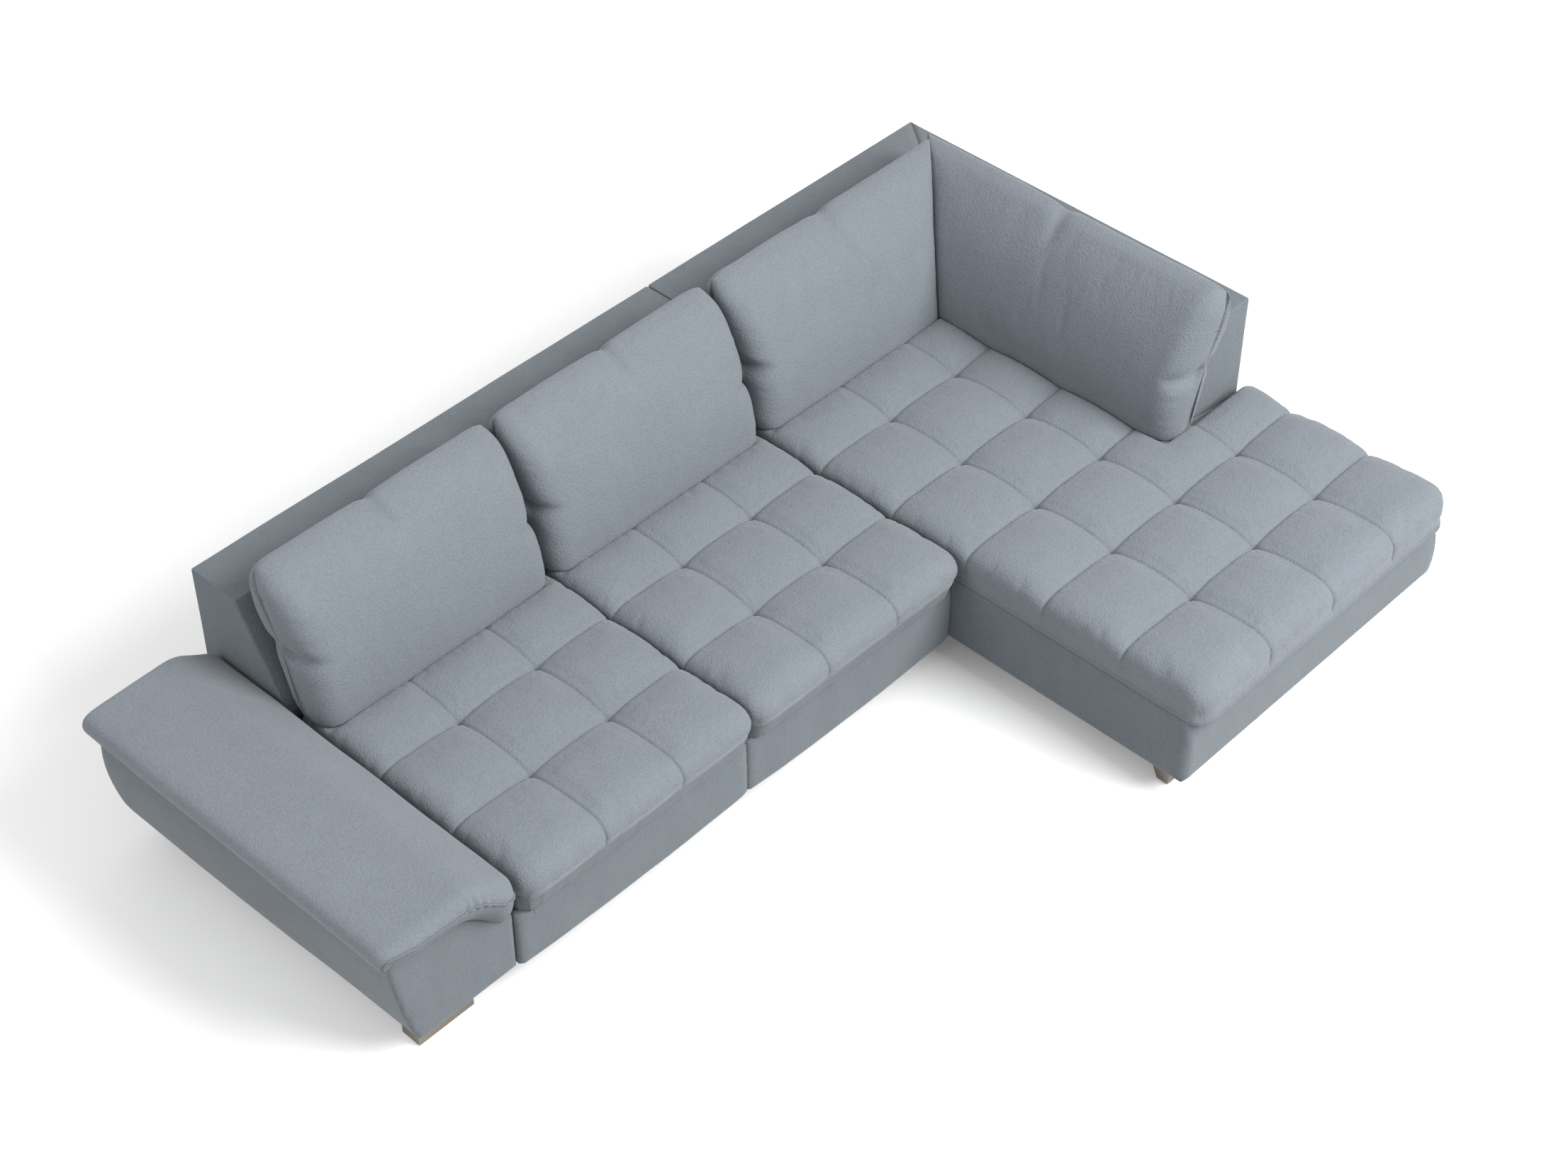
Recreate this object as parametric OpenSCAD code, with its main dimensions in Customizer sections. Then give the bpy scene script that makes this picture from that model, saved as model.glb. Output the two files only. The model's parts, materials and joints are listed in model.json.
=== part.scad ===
/* [Plan] */
// Width of the corner module's base
corner_w = 1062; // [1020:1:1110]
// Depth of the corner module, back face to mattress front
corner_d = 1905; // [1860:1:1960]
// Depth of the seats, back face to cushion front
seat_d = 1150; // [1120:1:1180]
// Tuft spacing across a seat, three squares wide
square = 253; // [244:1:262]
// Tuft spacing across the corner mattress
corner_square = 263; // [254:1:268]
// Tuft spacing front to back
row = 253; // [246:1:257]
// Distance of the rearmost tuft row from the back face
first_row = 376; // [366:1:386]
// Length of the right back from the back face
right_len = 1208; // [1160:1:1240]

/* [Heights] */
// Height of the feet
foot_h = 80; // [60:1:95]
// Top of the front panels under the seats
panel_top = 232; // [222:1:244]
// Top of the corner module's base
corner_top = 286; // [276:1:296]
// Height of the tufts
tuft_z = 378; // [370:1:386]
// Rise of a square's crown above its tufts
crown = 27; // [14:1:32]
// Height of the back frame
back_h = 662; // [630:1:700]
// Height of the back cushions' top seam
cushion_top = 797; // [770:1:830]

/* [Back] */
// Depth of the long back at its top
back_top_d = 168; // [140:1:190]
// Depth of the long back at seat height
back_foot_d = 316; // [300:1:326]
// Depth of the right back at its top
right_top_d = 125; // [110:1:150]
// Depth of the right back at seat height
right_foot_d = 242; // [230:1:256]
// Thickness of a back cushion where it stands on the seat
cushion_t = 122; // [112:1:132]
// Padding and cloth over the timber
skin_t = 16; // [12:1:20]

/* [Arm] */
// Width of the arm body at the floor
arm_w = 305; // [280:1:330]
// Lean of the arm's outer side over its height
arm_flare = 63; // [40:1:75]
// Height of the arm body's flat top
arm_top = 396; // [390:1:402]
// Height of the arm body at its inner edge
arm_low = 262; // [254:1:272]
// Thickness of the flap on the arm
flap_t = 102; // [96:1:110]
// Width of the flap's overhang beyond the arm body
flap_over = 46; // [34:1:56]
// Width of the inner roll beside the flap
roll_w = 136; // [128:1:146]

/* [Base] */
// Bulge of the corner base's right side
bow = 34; // [20:1:44]
// Thickness of the front panels
panel_t = 34; // [28:1:38]
// Thickness of the timber rails
rail_t = 25; // [20:1:28]
// Thickness of the zigzag spring wire
wire = 3.5; // [3:0.5:5]
// Springs under each seat
springs = 4; // [3:1:5]
// Springs in each bay of the corner module
corner_springs = 6; // [5:1:7]

/* [Feet] */
// Width of the arm's metal feet
arm_foot_w = 170; // [140:1:200]
// Depth of the arm's metal feet
arm_foot_d = 60; // [50:1:80]
// How much further in the arm's rear foot stands than its front foot
rear_foot_in = 60; // [0:5:70]
// Width of a corner foot at its top
block_w = 66; // [60:1:76]
// Width of a corner foot at its tip
block_tip = 34; // [28:1:44]
// Radius of a support foot
support_r = 25; // [20:1:30]
// Radius of a foot bolt
bolt_r = 4; // [3:0.5:5]

/* [Hidden] */

// Colours
fabric_c = [0.55, 0.60, 0.65];
timber_c = [0.80, 0.66, 0.46];
steel_c = [0.62, 0.64, 0.66];
foot_c = [0.80, 0.74, 0.68];
felt_c = [0.30, 0.31, 0.33];
foam_c = [0.90, 0.88, 0.80];

// Clearances: between moving or soft pieces, and of a bolt in its hole
gap = 0.5;
bolt_gap = 0.3;
// Sides of hidden shanks, their holes and the glides
shank_sides = 12;
pin_gap = 0.05;

// Places along X from the sofa's right rear corner, leftwards negative
seam = 6;
seat_w = 3 * square;
x_split = -corner_w;
x_mid = x_split - seat_w - seam / 2;
x_seats = x_split - 2 * seat_w - seam;
arm_slot = 6;
x_arm = x_seats - arm_slot;
back_over = 10;
x_back = x_arm - back_over;
x_arm_foot = x_arm - arm_w;
x_arm_top = x_arm_foot - arm_flare;
x_fold = x_arm - roll_w - 14;
x_nose = x_arm_top - flap_over;

// Places along Y from the back face, forwards negative
y_seat = -seat_d;
y_corner = -corner_d;
y_knee = -back_foot_d;
panel_in = 40;
y_panel = y_seat + panel_in;
corner_in = 35;
y_base = y_corner + corner_in;
arm_in = 57;
y_arm = y_seat + arm_in;
y_arm_rear = -50;
y_right = -right_len;

// Heights
press_z = tuft_z + 8;
knee_z = press_z - 6;
felt_t = 6;
clip_t = 2;
rail_top = panel_top - felt_t - clip_t - wire;
corner_rail_top = corner_top - felt_t - clip_t - wire;
cover_t = 13;
dust_t = 2;
frame_z = foot_h + dust_t;
glide_t = 3;

// The whole part stands centred over its origin
shift_x = -(x_nose + bow) / 2;
shift_y = corner_d / 2;
module place() translate([shift_x, shift_y, 0]) children();

module block(x0, x1, y0, y1, z0, z1)
  translate([x0, y0, z0]) cube([x1 - x0, y1 - y0, z1 - z0]);

// Point at t on a cubic curve
function bez(a, b, c, d, t) =
  a * pow(1 - t, 3) + b * 3 * t * pow(1 - t, 2) + c * 3 * t * t * (1 - t) + d * pow(t, 3);
function curve(a, b, c, d, n) = [for (i = [0:n]) bez(a, b, c, d, i / n)];

// Prisms drawn in a side view: XZ outlines run along Y, YZ outlines run along X
module along_y(y0, y1, outline)
  translate([0, y1, 0]) rotate([90, 0, 0]) linear_extrude(y1 - y0) polygon(outline);
module along_x(x0, x1, outline)
  translate([x0, 0, 0]) rotate([90, 0, 90]) linear_extrude(x1 - x0) polygon(outline);

// Closed skin through rings of equally many points, with a fan over each end
module skin(rings, flip = false) {
  n = len(rings[0]);
  m = len(rings);
  function mean(r) = [for (k = [0:2]) [for (p = r) 1] * [for (p = r) p[k]] / n];
  points = concat([for (r = rings) each r], [mean(rings[0]), mean(rings[m - 1])]);
  faces = concat(
    [for (j = [0:m - 2], i = [0:n - 1], h = [0, 1])
      let(a = j * n + i, b = j * n + (i + 1) % n, c = a + n, d = b + n)
      h == 0 ? [a, b, d] : [a, d, c]],
    [for (i = [0:n - 1]) [m * n, (i + 1) % n, i]],
    [for (i = [0:n - 1]) [m * n + 1, (m - 1) * n + i, (m - 1) * n + (i + 1) % n]]);
  polyhedron(points, flip ? [for (f = faces) [f[2], f[1], f[0]]] : faces);
}

// Quilted cushion: a grid of top points, then rings down its sides and a fan below.
// xs and ys are the grid lines, lines_x and lines_y the seams, edge the box of the outline
// and right the place of its right side at each y.
seam_depth_x = 0.35;
seam_depth_y = 0.6;
edge_reach = 0.84;
edge_inset = 22;
steps = [0, 0.14, 0.38, 0.62, 0.86];
mattress_steps = [0, 0.16, 0.5, 0.84];

function lines_between(seams, steps) =
  concat([for (i = [0:len(seams) - 2], t = steps) seams[i] + t * (seams[i + 1] - seams[i])],
    [seams[len(seams) - 1]]);
// How full a square is at v: 0 on a seam, 1 midway, and part full at an outer edge
function fullness(v, seams, i = 0) =
  v >= seams[i + 1] && i < len(seams) - 2 ? fullness(v, seams, i + 1)
  : let(t = min(1, max(0, (v - seams[i]) / (seams[i + 1] - seams[i]))),
      first = i == 0, last = i == len(seams) - 2,
      u = first ? 1 - (1 - t) * edge_reach : last ? t * edge_reach : t)
    first && last ? 1 : pow(max(0, sin(180 * u)), 0.6);
// The lines with extra ones let in, clear of their neighbours
function let_in(lines, extra, clear) = concat(
  [for (v = lines) if (v < extra[0] - clear) v], extra,
  [for (v = lines) if (v > extra[len(extra) - 1] + clear) v]);
function puff(x, y, seams_x, seams_y) =
  let(a = 1 - fullness(x, seams_x), b = 1 - fullness(y, seams_y))
  1 - a * seam_depth_x - b * seam_depth_y + a * b * (seam_depth_x + seam_depth_y - 1);
// Order of the grid's outer points, anticlockwise from above
function rim(nx, ny) = concat(
  [for (i = [0:nx]) i], [for (j = [1:ny]) nx + j * (nx + 1)],
  [for (i = [nx - 1:-1:0]) i + ny * (nx + 1)], [for (j = [ny - 1:-1:1]) j * (nx + 1)]);
function unit(v) = v / max(norm(v), 0.001);

// points is the grid's top, row by row from the front, and drops gives each ring's inset from
// the outline at the sides, its inset at the front, and its height
module quilt(points, outline, nx, ny, drops, hub) {
  edge = rim(nx, ny);
  n = len(edge);
  g = len(points);
  function side(k) = unit([outline[(k + 1) % n][1] - outline[(k + n - 1) % n][1],
      outline[(k + n - 1) % n][0] - outline[(k + 1) % n][0]]);
  rings = [for (d = drops, k = [0:n - 1])
    let(s = side(k), inset = s[1] < -0.5 ? d[1] : d[0])
    [outline[k][0] - s[0] * inset, outline[k][1] - s[1] * inset, d[2]]];
  last = g + (len(drops) - 1) * n;
  polyhedron(
    concat(points, rings, [[hub[0], hub[1], drops[len(drops) - 1][2]]]),
    concat(
      [for (j = [0:ny - 1], i = [0:nx - 1], h = [0, 1])
        let(a = i + j * (nx + 1), d = a + nx + 1) h == 0 ? [a, d + 1, a + 1] : [a, d, d + 1]],
      [for (k = [0:n - 1], h = [0, 1])
        let(l = (k + 1) % n) h == 0 ? [edge[k], edge[l], g + l] : [edge[k], g + l, g + k]],
      [for (r = [0:len(drops) - 2], k = [0:n - 1], h = [0, 1])
        let(l = (k + 1) % n, u = g + r * n)
        h == 0 ? [u + k, u + l, u + n + l] : [u + k, u + n + l, u + n + k]],
      [for (k = [0:n - 1]) [last + n, last + k, last + (k + 1) % n]]));
}

// Pulls a grid point into a rounded corner at the front left or front right
function rounded(p, x0, x1, y0, r) =
  let(side = p[0] < x0 + r ? -1 : p[0] > x1 - r ? 1 : 0,
    c = [side < 0 ? x0 + r : x1 - r, y0 + r],
    q = [(p[0] - c[0]) * side / r, (c[1] - p[1]) / r])
  side == 0 || q[1] <= 0 || q[0] <= 0 ? p
  : let(f = max(q[0], q[1]) / norm(q)) [c[0] + q[0] * f * side * r, c[1] - q[1] * f * r];

// Seat cushions
seat_corner_r = 46;
press_over = 16;
press_edge = 26;
y_pressed = y_knee - cushion_t - press_over;
x_pressed = -right_foot_d - cushion_t - press_over;
seat_gap = 1;

function pressed(z, inside) = inside ? min(z, press_z) : z;

module seat(x0, x1) {
  y1 = y_knee - gap;
  seams_x = [x0 + edge_inset, x0 + square, x1 - square, x1 - edge_inset];
  seams_y = [y_seat + edge_inset, -first_row - 2 * row, -first_row - row, -first_row,
    y1 - edge_inset / 2];
  xs = lines_between(seams_x, steps);
  ys = let_in(lines_between(seams_y, steps), [y_pressed - press_edge, y_pressed], 12);
  nx = len(xs) - 1;
  ny = len(ys) - 1;
  points = [for (y = ys, x = xs)
    let(p = rounded([x, y], x0 + edge_inset, x1 - edge_inset, y_seat + edge_inset, seat_corner_r))
    [p[0], p[1], pressed(tuft_z + crown * puff(x, y, seams_x, seams_y), y > y_pressed - 1)]];
  outline = [for (k = rim(nx, ny))
    let(i = k % (nx + 1), j = floor(k / (nx + 1)),
      x = i == 0 ? x0 : i == nx ? x1 : xs[i], y = j == 0 ? y_seat : j == ny ? y1 : ys[j])
    rounded([x, y], x0, x1, y_seat, seat_corner_r)];
  quilt(points, outline, nx, ny, [
    [5, 6, tuft_z - 8],
    [0, 0, tuft_z - 30],
    [3, 14, tuft_z - 66],
    [5, 22, tuft_z - 96],
    [5, panel_in, panel_top]], [(x0 + x1) / 2, (y_seat + y1) / 2]);
}

// Foam block inside a cushion, and the pocket that holds it
core_in = 62;
core_low = 20;
core_h = 84;
module seat_block(x0, x1, grow = 0)
  block(x0 + core_in - grow, x1 - core_in + grow, y_seat + 1.6 * core_in - grow,
    y_knee - core_in + grow, panel_top + core_low - grow, panel_top + core_low + core_h + grow);

x_seat1 = [x_seats + seat_gap, x_mid - seat_gap];
x_seat2 = [x_mid + seat_gap, x_split - seat_gap - 2];

module seat_cushion_1() color(fabric_c) place() difference() {
  seat(x_seat1[0], x_seat1[1]);
  seat_block(x_seat1[0], x_seat1[1], gap);
}
module seat_cushion_2() color(fabric_c) place() difference() {
  seat(x_seat2[0], x_seat2[1]);
  seat_block(x_seat2[0], x_seat2[1], gap);
}
module seat_core_1() color(foam_c) place() seat_block(x_seat1[0], x_seat1[1]);
module seat_core_2() color(foam_c) place() seat_block(x_seat2[0], x_seat2[1]);

// Corner mattress, an L round the foot of the right back
mattress_left = x_split + 6;
mattress_right = 12;
mattress_r = 62;
x_notch = -right_foot_d - gap;
y_notch = y_right - 4;
tuft_x = [for (k = [3:-1:1]) -1 - k * corner_square + 13];
notch_step = 8;
end_over = 42;
y_right_end = y_right - end_over;
y_front_pressed = y_right_end - press_over;

module mattress() {
  y1 = y_knee - gap;
  seams_x = concat([mattress_left + edge_inset], tuft_x, [mattress_right - edge_inset]);
  seams_y = concat([y_corner + edge_inset],
    [for (k = [5:-1:0]) -first_row - k * row], [y1 - edge_inset / 2]);
  xs = let_in(lines_between(seams_x, mattress_steps), [x_pressed - press_edge, x_pressed], 12);
  // Rows close together keep the notch's end wall upright
  ys = let_in(let_in(lines_between(seams_y, mattress_steps), [y_front_pressed - press_edge, y_front_pressed,
    y_notch - 2 * notch_step, y_notch - notch_step, y_notch], 12),
    [y_pressed - press_edge, y_pressed], 12);
  nx = len(xs) - 1;
  ny = len(ys) - 1;
  x_free = tuft_x[2] - 4;
  // Behind the notch the grid's right part folds up against the right back
  function fit(x, y, lim, side) = y < y_notch - notch_step / 2 || x <= x_free ? x
    : x_free + (x - x_free) * (x_notch - side - x_free) / (lim - x_free);
  points = [for (y = ys, x = xs)
    let(p = rounded([fit(x, y, mattress_right - edge_inset, 2), y], mattress_left + edge_inset,
        mattress_right - edge_inset, y_corner + edge_inset, mattress_r))
    [p[0], p[1], pressed(tuft_z + crown * puff(x, y, seams_x, seams_y),
      y > y_pressed - 1 || (x > x_pressed - 1 && y > y_front_pressed - 1))]];
  outline = [for (k = rim(nx, ny))
    let(i = k % (nx + 1), j = floor(k / (nx + 1)),
      x = i == 0 ? mattress_left : i == nx ? mattress_right : xs[i],
      y = j == 0 ? y_corner : j == ny ? y1 : ys[j])
    rounded([fit(x, y, mattress_right, 0), y], mattress_left, mattress_right, y_corner,
      mattress_r)];
  quilt(points, outline, nx, ny, [
    [4, 5, tuft_z - 6],
    [0, 0, tuft_z - 26],
    [4, 7, tuft_z - 56],
    [14, 22, tuft_z - 78],
    [14, 26, corner_top]], [x_notch - 300, y_notch - 300]);
}
module corner_blocks(grow = 0) {
  z0 = corner_top + 12;
  z1 = tuft_z - 30;
  block(mattress_left + core_in - grow, x_notch - core_in + grow, y_notch - core_in,
    y_knee - core_in + grow, z0 - grow, z1 + grow);
  block(mattress_left + core_in - grow, mattress_right - core_in + grow,
    y_corner + 1.6 * core_in - grow, y_notch - core_in + grow, z0 - grow, z1 + grow);
}
module corner_mattress() color(fabric_c) place() difference() {
  mattress();
  corner_blocks(gap);
}
module corner_core() color(foam_c) place() corner_blocks();

// Backs: outline of a back's section, its depth on the first axis, inset by t
lean = (back_foot_d - back_top_d) / (back_h - knee_z);
right_lean = (right_foot_d - right_top_d) / (back_h - knee_z);
function back_outline(top_d, foot_d, low, t) =
  let(k = (foot_d - top_d) / (back_h - knee_z), w = t * sqrt(1 + k * k))
  [[-t, low], [-t, back_h - t], [-top_d - k * t + w, back_h - t], [-foot_d + w, knee_z],
   [-foot_d + w, low]];
module long_back(x0, x1, low, t = 0)
  along_x(x0, x1, back_outline(back_top_d, back_foot_d, low, t));
module right_back(y0, y1, low, t = 0)
  along_y(y0, y1, back_outline(right_top_d, right_foot_d, low, t));
// Plan of the corner mitre: the long back's side, or the right back's side, drawn in by t
module mitre_long(t = 0) linear_extrude(2 * back_h) polygon([
  [x_split - 1, 1], [-1.4 * t, 1], [-1.4 * t, 0], [-right_top_d - 1.4 * t, -back_top_d],
  [-right_foot_d - 1.4 * t, -back_foot_d], [-right_foot_d - 1.4 * t, -back_foot_d - 1],
  [x_split - 1, -back_foot_d - 1]]);
module mitre_right(t = 0) linear_extrude(2 * back_h) polygon([
  [1, -1.4 * t], [0, -1.4 * t], [-right_top_d, -back_top_d - 1.4 * t],
  [-right_foot_d, -back_foot_d - 1.4 * t], [-right_foot_d - 1, -back_foot_d - 1.4 * t],
  [-right_foot_d - 1, y_right - 1], [1, y_right - 1]]);
module_gap = 1;
inner_low = panel_top;

// Left out of the cover below the seat, where the frames meet timber to timber
module back_cover_left() color(fabric_c) place() difference() {
  long_back(x_back, x_split - module_gap, foot_h);
  long_back(x_back + skin_t, x_split - module_gap - skin_t / 4, foot_h - 1, skin_t);
  block(x_back + skin_t, x_split - module_gap - skin_t / 4, y_knee - 1, y_knee + 2 * skin_t,
    foot_h - 1, inner_low);
}
module back_cover_corner() color(fabric_c) place() difference() {
  intersection() {
    long_back(x_split, 0, corner_top);
    mitre_long();
  }
  intersection() {
    long_back(x_split + skin_t / 4, 0, corner_top - 1, skin_t);
    mitre_long(skin_t);
  }
}
module back_cover_right() color(fabric_c) place() difference() {
  intersection() {
    right_back(y_right, 0, corner_top);
    mitre_right(gap);
  }
  intersection() {
    right_back(y_right + skin_t, 0, corner_top - 1, skin_t);
    mitre_right(skin_t + gap);
  }
}

// Timber backs: ribs of the section joined by rails
rib_t = 22;
module back_rails_x(x0, x1, low) {
  front = -back_foot_d + skin_t * sqrt(1 + lean * lean);
  block(x0, x1, -skin_t - rail_t, -skin_t, low, low + 80);
  block(x0, x1, -skin_t - rail_t, -skin_t, back_h - skin_t - 90, back_h - skin_t);
  block(x0, x1, front, front + rail_t, knee_z - 84, knee_z - 4);
}
module back_frame_left() color(timber_c) place() difference() {
  x0 = x_back + skin_t;
  x1 = x_split - module_gap - skin_t / 4;
  union() {
    for (k = [0:4]) {
      x = x0 + k * (x1 - x0 - rib_t) / 4;
      long_back(x, x + rib_t, frame_z, skin_t);
    }
    back_rails_x(x0, x1, frame_z);
    // Sill that meets the seat frame
    block(x0, x1, y_knee, y_knee + 60, frame_z, panel_top - 20);
  }
  frame_holes();
  foot_holes();
}
module back_frame_corner() color(timber_c) place() difference() {
  x0 = x_split + skin_t / 4;
  x1 = -right_foot_d - 2 * skin_t;
  union() {
    for (k = [0:2]) {
      x = x0 + k * (x1 - x0 - rib_t) / 2;
      long_back(x, x + rib_t, corner_top, skin_t);
    }
    back_rails_x(x0, x1, corner_top);
  }
  back_holes();
}
module back_frame_right() color(timber_c) place() difference() {
  front = -right_foot_d + skin_t * sqrt(1 + right_lean * right_lean);
  y0 = y_right + skin_t;
  y1 = -back_foot_d - 2 * skin_t;
  union() {
    for (k = [0:2]) {
      y = y0 + k * (y1 - y0 - rib_t) / 2;
      right_back(y, y + rib_t, corner_top, skin_t);
    }
    block(-skin_t - rail_t, -skin_t, y0, y1, corner_top, corner_top + 80);
    block(-skin_t - rail_t, -skin_t, y0, y1, back_h - skin_t - 90, back_h - skin_t);
    block(front, front + rail_t, y0, y1, knee_z - 84, knee_z - 4);
  }
  back_holes();
}

// Back cushions. A cushion's section is a closed loop of [depth, height] points: it stands on
// the seat, leans on the back up to the frame's top, and closes in a seam above it.
rise = cushion_top - press_z;
function cushion_loop(foot, top, k) =
  let(z0 = press_z + gap, back = foot + gap, front = foot + cushion_t,
    over = top + gap, full = (front + over) / 2, mid_z = (back_h + knee_z) / 2,
    lean_at = function(z) foot - k * (z - knee_z) + 1)
  concat(
    [for (p = curve([front - 3, z0], [front + 14, z0 + 0.12 * rise],
      [front - 4, z0 + 0.5 * rise], [full + 78, z0 + 0.72 * rise], 7)) p],
    [for (p = curve([full + 66, z0 + 0.8 * rise], [full + 46, z0 + 0.94 * rise],
      [full + 12, cushion_top], [full - 22, cushion_top], 4)) p],
    [for (p = curve([full - 36, cushion_top - 6], [full - 44, cushion_top - 30],
      [over + 22, back_h + 40], [over + 4, back_h + 4], 3)) p],
    [[lean_at(mid_z), mid_z], [lean_at(z0 + 6), z0 + 6], [lean_at(z0) + 8, z0],
     [(back + front) / 2, z0]]);
// Ends of a cushion: place along its width and how far the section has grown there
ends = [[0, 0.72], [7, 0.86], [20, 0.95], [46, 1]];
// Drawn-in sides: the section's middle pulls in at half height
waist = 9;
function swell(p, mid, s) = [mid[0] + (p[0] - mid[0]) * s,
  max(press_z + gap, mid[1] + (p[1] - mid[1]) * (0.45 + 0.55 * s))];
function station(loop, w, s, mid, inward) =
  [for (p = loop) let(q = swell(p, mid, s))
    [q[0], q[1], w + inward * waist * sin(180 * min(1, (q[1] - press_z) / rise))]];
// Stations across a width from a to b; cut is 1 where the far end follows the corner mitre
function cushion_stations(loop, a, b, cut) =
  let(mid = [loop[0][0] - cushion_t / 2, press_z + rise / 2], far = cut ? [[4, 0.97], [30, 1]]
      : ends)
  concat(
    [for (e = ends) station(loop, a + e[0], e[1], mid, e[0] < 46 ? 1 : 0)],
    [for (k = [1:5]) station(loop, a + 46 + k * (b - a - 92) / 6, 1, mid, 0)],
    [for (i = [len(far) - 1:-1:0])
      station(loop, b - far[i][0], far[i][1], mid, cut ? 0 : far[i][0] < 46 ? -1 : 0)]);

// Mitre between the corner's two cushions, as X minus Y. The long one's end stands upright on
// the place where the backs' tops meet; the right one's follows the backs' own mitre down.
mitre_foot = back_foot_d - right_foot_d;
mitre_top = back_top_d - right_top_d;
function mitre_at(z) = mitre_foot + (mitre_top - mitre_foot)
  * min(1, max(0, (z - knee_z) / (back_h - knee_z)));
mitre_from = 0.55;
x_cushions = [[x_seats - 2, x_mid - 13], [x_mid - 8, x_split - 7], [x_split - 1, mitre_top - back_foot_d - cushion_t]];

module long_cushion(k) {
  a = x_cushions[k][0];
  cut = k == 2;
  b = x_cushions[k][1];
  loop = cushion_loop(back_foot_d, back_top_d, lean);
  rows = cushion_stations(loop, a, b, cut);
  // Toward the mitre each point slides on along X until X equals its own depth's mitre place
  function slide(p) = let(t = max(0, (p[2] - a) / (b - a) - mitre_from) / (1 - mitre_from))
    cut ? p[2] + t * (mitre_top - p[0] - 2 * gap - b) : p[2];
  skin([for (r = rows) [for (p = r) [slide(p), -p[0], p[1]]]]);
}
module right_cushion() {
  a = back_foot_d + cushion_t;
  b = -y_right_end;
  loop = cushion_loop(right_foot_d, right_top_d, right_lean);
  rows = cushion_stations(loop, -b, -a, true);
  function slide(p) = let(t = max(0, (p[2] + b) / (b - a) - mitre_from) / (1 - mitre_from))
    p[2] + t * (-p[0] - mitre_at(p[1]) - 2 * gap + a);
  skin([for (r = rows) [for (p = r) [-p[0], slide(p), p[1]]]], true);
}

// Fibre-filled core inside a back cushion, and its pocket
core_side = 70;
core_t = 52;
module long_core(k, grow = 0) {
  y = -back_foot_d - cushion_t * 0.42;
  b = x_cushions[k][1];
  block(x_cushions[k][0] + core_side - grow, b - core_side + grow, y - core_t / 2 - grow + 8,
    y + core_t / 2 + grow + 8, press_z + 30 - grow, press_z + 180 + grow);
}
module right_core(grow = 0) {
  x = -right_foot_d - cushion_t * 0.42;
  block(x - core_t / 2 - grow + 8, x + core_t / 2 + grow + 8, y_right_end + core_side - grow,
    -back_foot_d - cushion_t - core_side + grow, press_z + 30 - grow, press_z + 180 + grow);
}
module back_cushion_1() color(fabric_c) place() difference() {
  long_cushion(0);
  long_core(0, gap);
}
module back_cushion_2() color(fabric_c) place() difference() {
  long_cushion(1);
  long_core(1, gap);
}
module back_cushion_3() color(fabric_c) place() difference() {
  long_cushion(2);
  long_core(2, gap);
}
module back_cushion_right() color(fabric_c) place() difference() {
  right_cushion();
  right_core(gap);
}
module back_core_1() color(foam_c) place() long_core(0);
module back_core_2() color(foam_c) place() long_core(1);
module back_core_3() color(foam_c) place() long_core(2);
module back_core_right() color(foam_c) place() right_core();

// Arm: its top dips toward the seat in an S, and its outer side leans outward
function arm_s(n, dx, dz) = curve([x_arm + dx, arm_low + dz], [x_arm - 0.5 * roll_w + dx,
  arm_low + 22 + dz], [x_arm - 0.8 * roll_w + dx, arm_top - 28 + dz],
  [x_fold - 60 + dx, arm_top + dz], n);
function arm_outline(t) = concat(
  [[x_arm - t, foot_h - (t > 0 ? 1 : 0)]], arm_s(8, -t, -1.3 * t),
  [[x_arm_top + t, arm_top - 1.3 * t]],
  curve([x_arm_top + t, arm_top - 1.3 * t], [x_arm_top + 8 + t, arm_top - 106],
    [x_arm_foot - 28 + t, foot_h + 70], [x_arm_foot + t, foot_h - (t > 0 ? 1 : 0)], 8));
module back_notch(grow)
  block(x_back - grow, x_arm + 1, y_knee - grow, 1, foot_h - 2, back_h);

module arm_cover() color(fabric_c) place() difference() {
  along_y(y_arm, y_arm_rear, arm_outline(0));
  difference() {
    along_y(y_arm + skin_t, y_arm_rear - skin_t, arm_outline(skin_t));
    back_notch(skin_t + 2);
  }
  back_notch(2);
  plate_slots(arm_rail_z - 8, arm_top + 10);
  arm_holes();
}
// Timber arm: end boards with long rails, the upper one carrying the ratchets
arm_rail_x = x_fold - rail_t / 2;
arm_side_x = x_arm - skin_t - rail_t;
arm_rail_z = arm_top - 1.3 * skin_t - 50;
module arm_frame() color(timber_c) place() difference() {
  union() {
    for (y = [y_arm + skin_t, y_arm_rear - skin_t - rib_t])
      intersection() {
        along_y(y, y + rib_t, arm_outline(skin_t));
        block(x_nose, x_arm - skin_t - back_over - 4, y, y + rib_t, foot_h, back_h);
      }
    block(arm_rail_x, arm_rail_x + rail_t, y_arm + skin_t + 2, y_arm_rear - skin_t - 2,
      arm_rail_z - 70, arm_rail_z);
    block(x_arm_foot + 40, x_arm_foot + 40 + rail_t, y_arm + skin_t + 2, y_arm_rear - skin_t - 2,
      frame_z, frame_z + 70);
    block(arm_side_x, x_arm - skin_t, y_arm + skin_t + 2, y_knee - skin_t - 10, frame_z,
      frame_z + 70);
    for (y = arm_foot_y)
      block(x_arm_foot + 40, arm_side_x, y - 34, y + 34, foot_h, frame_z + 30);
  }
  fixed_plates();
  arm_holes();
  foot_holes();
}

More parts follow.
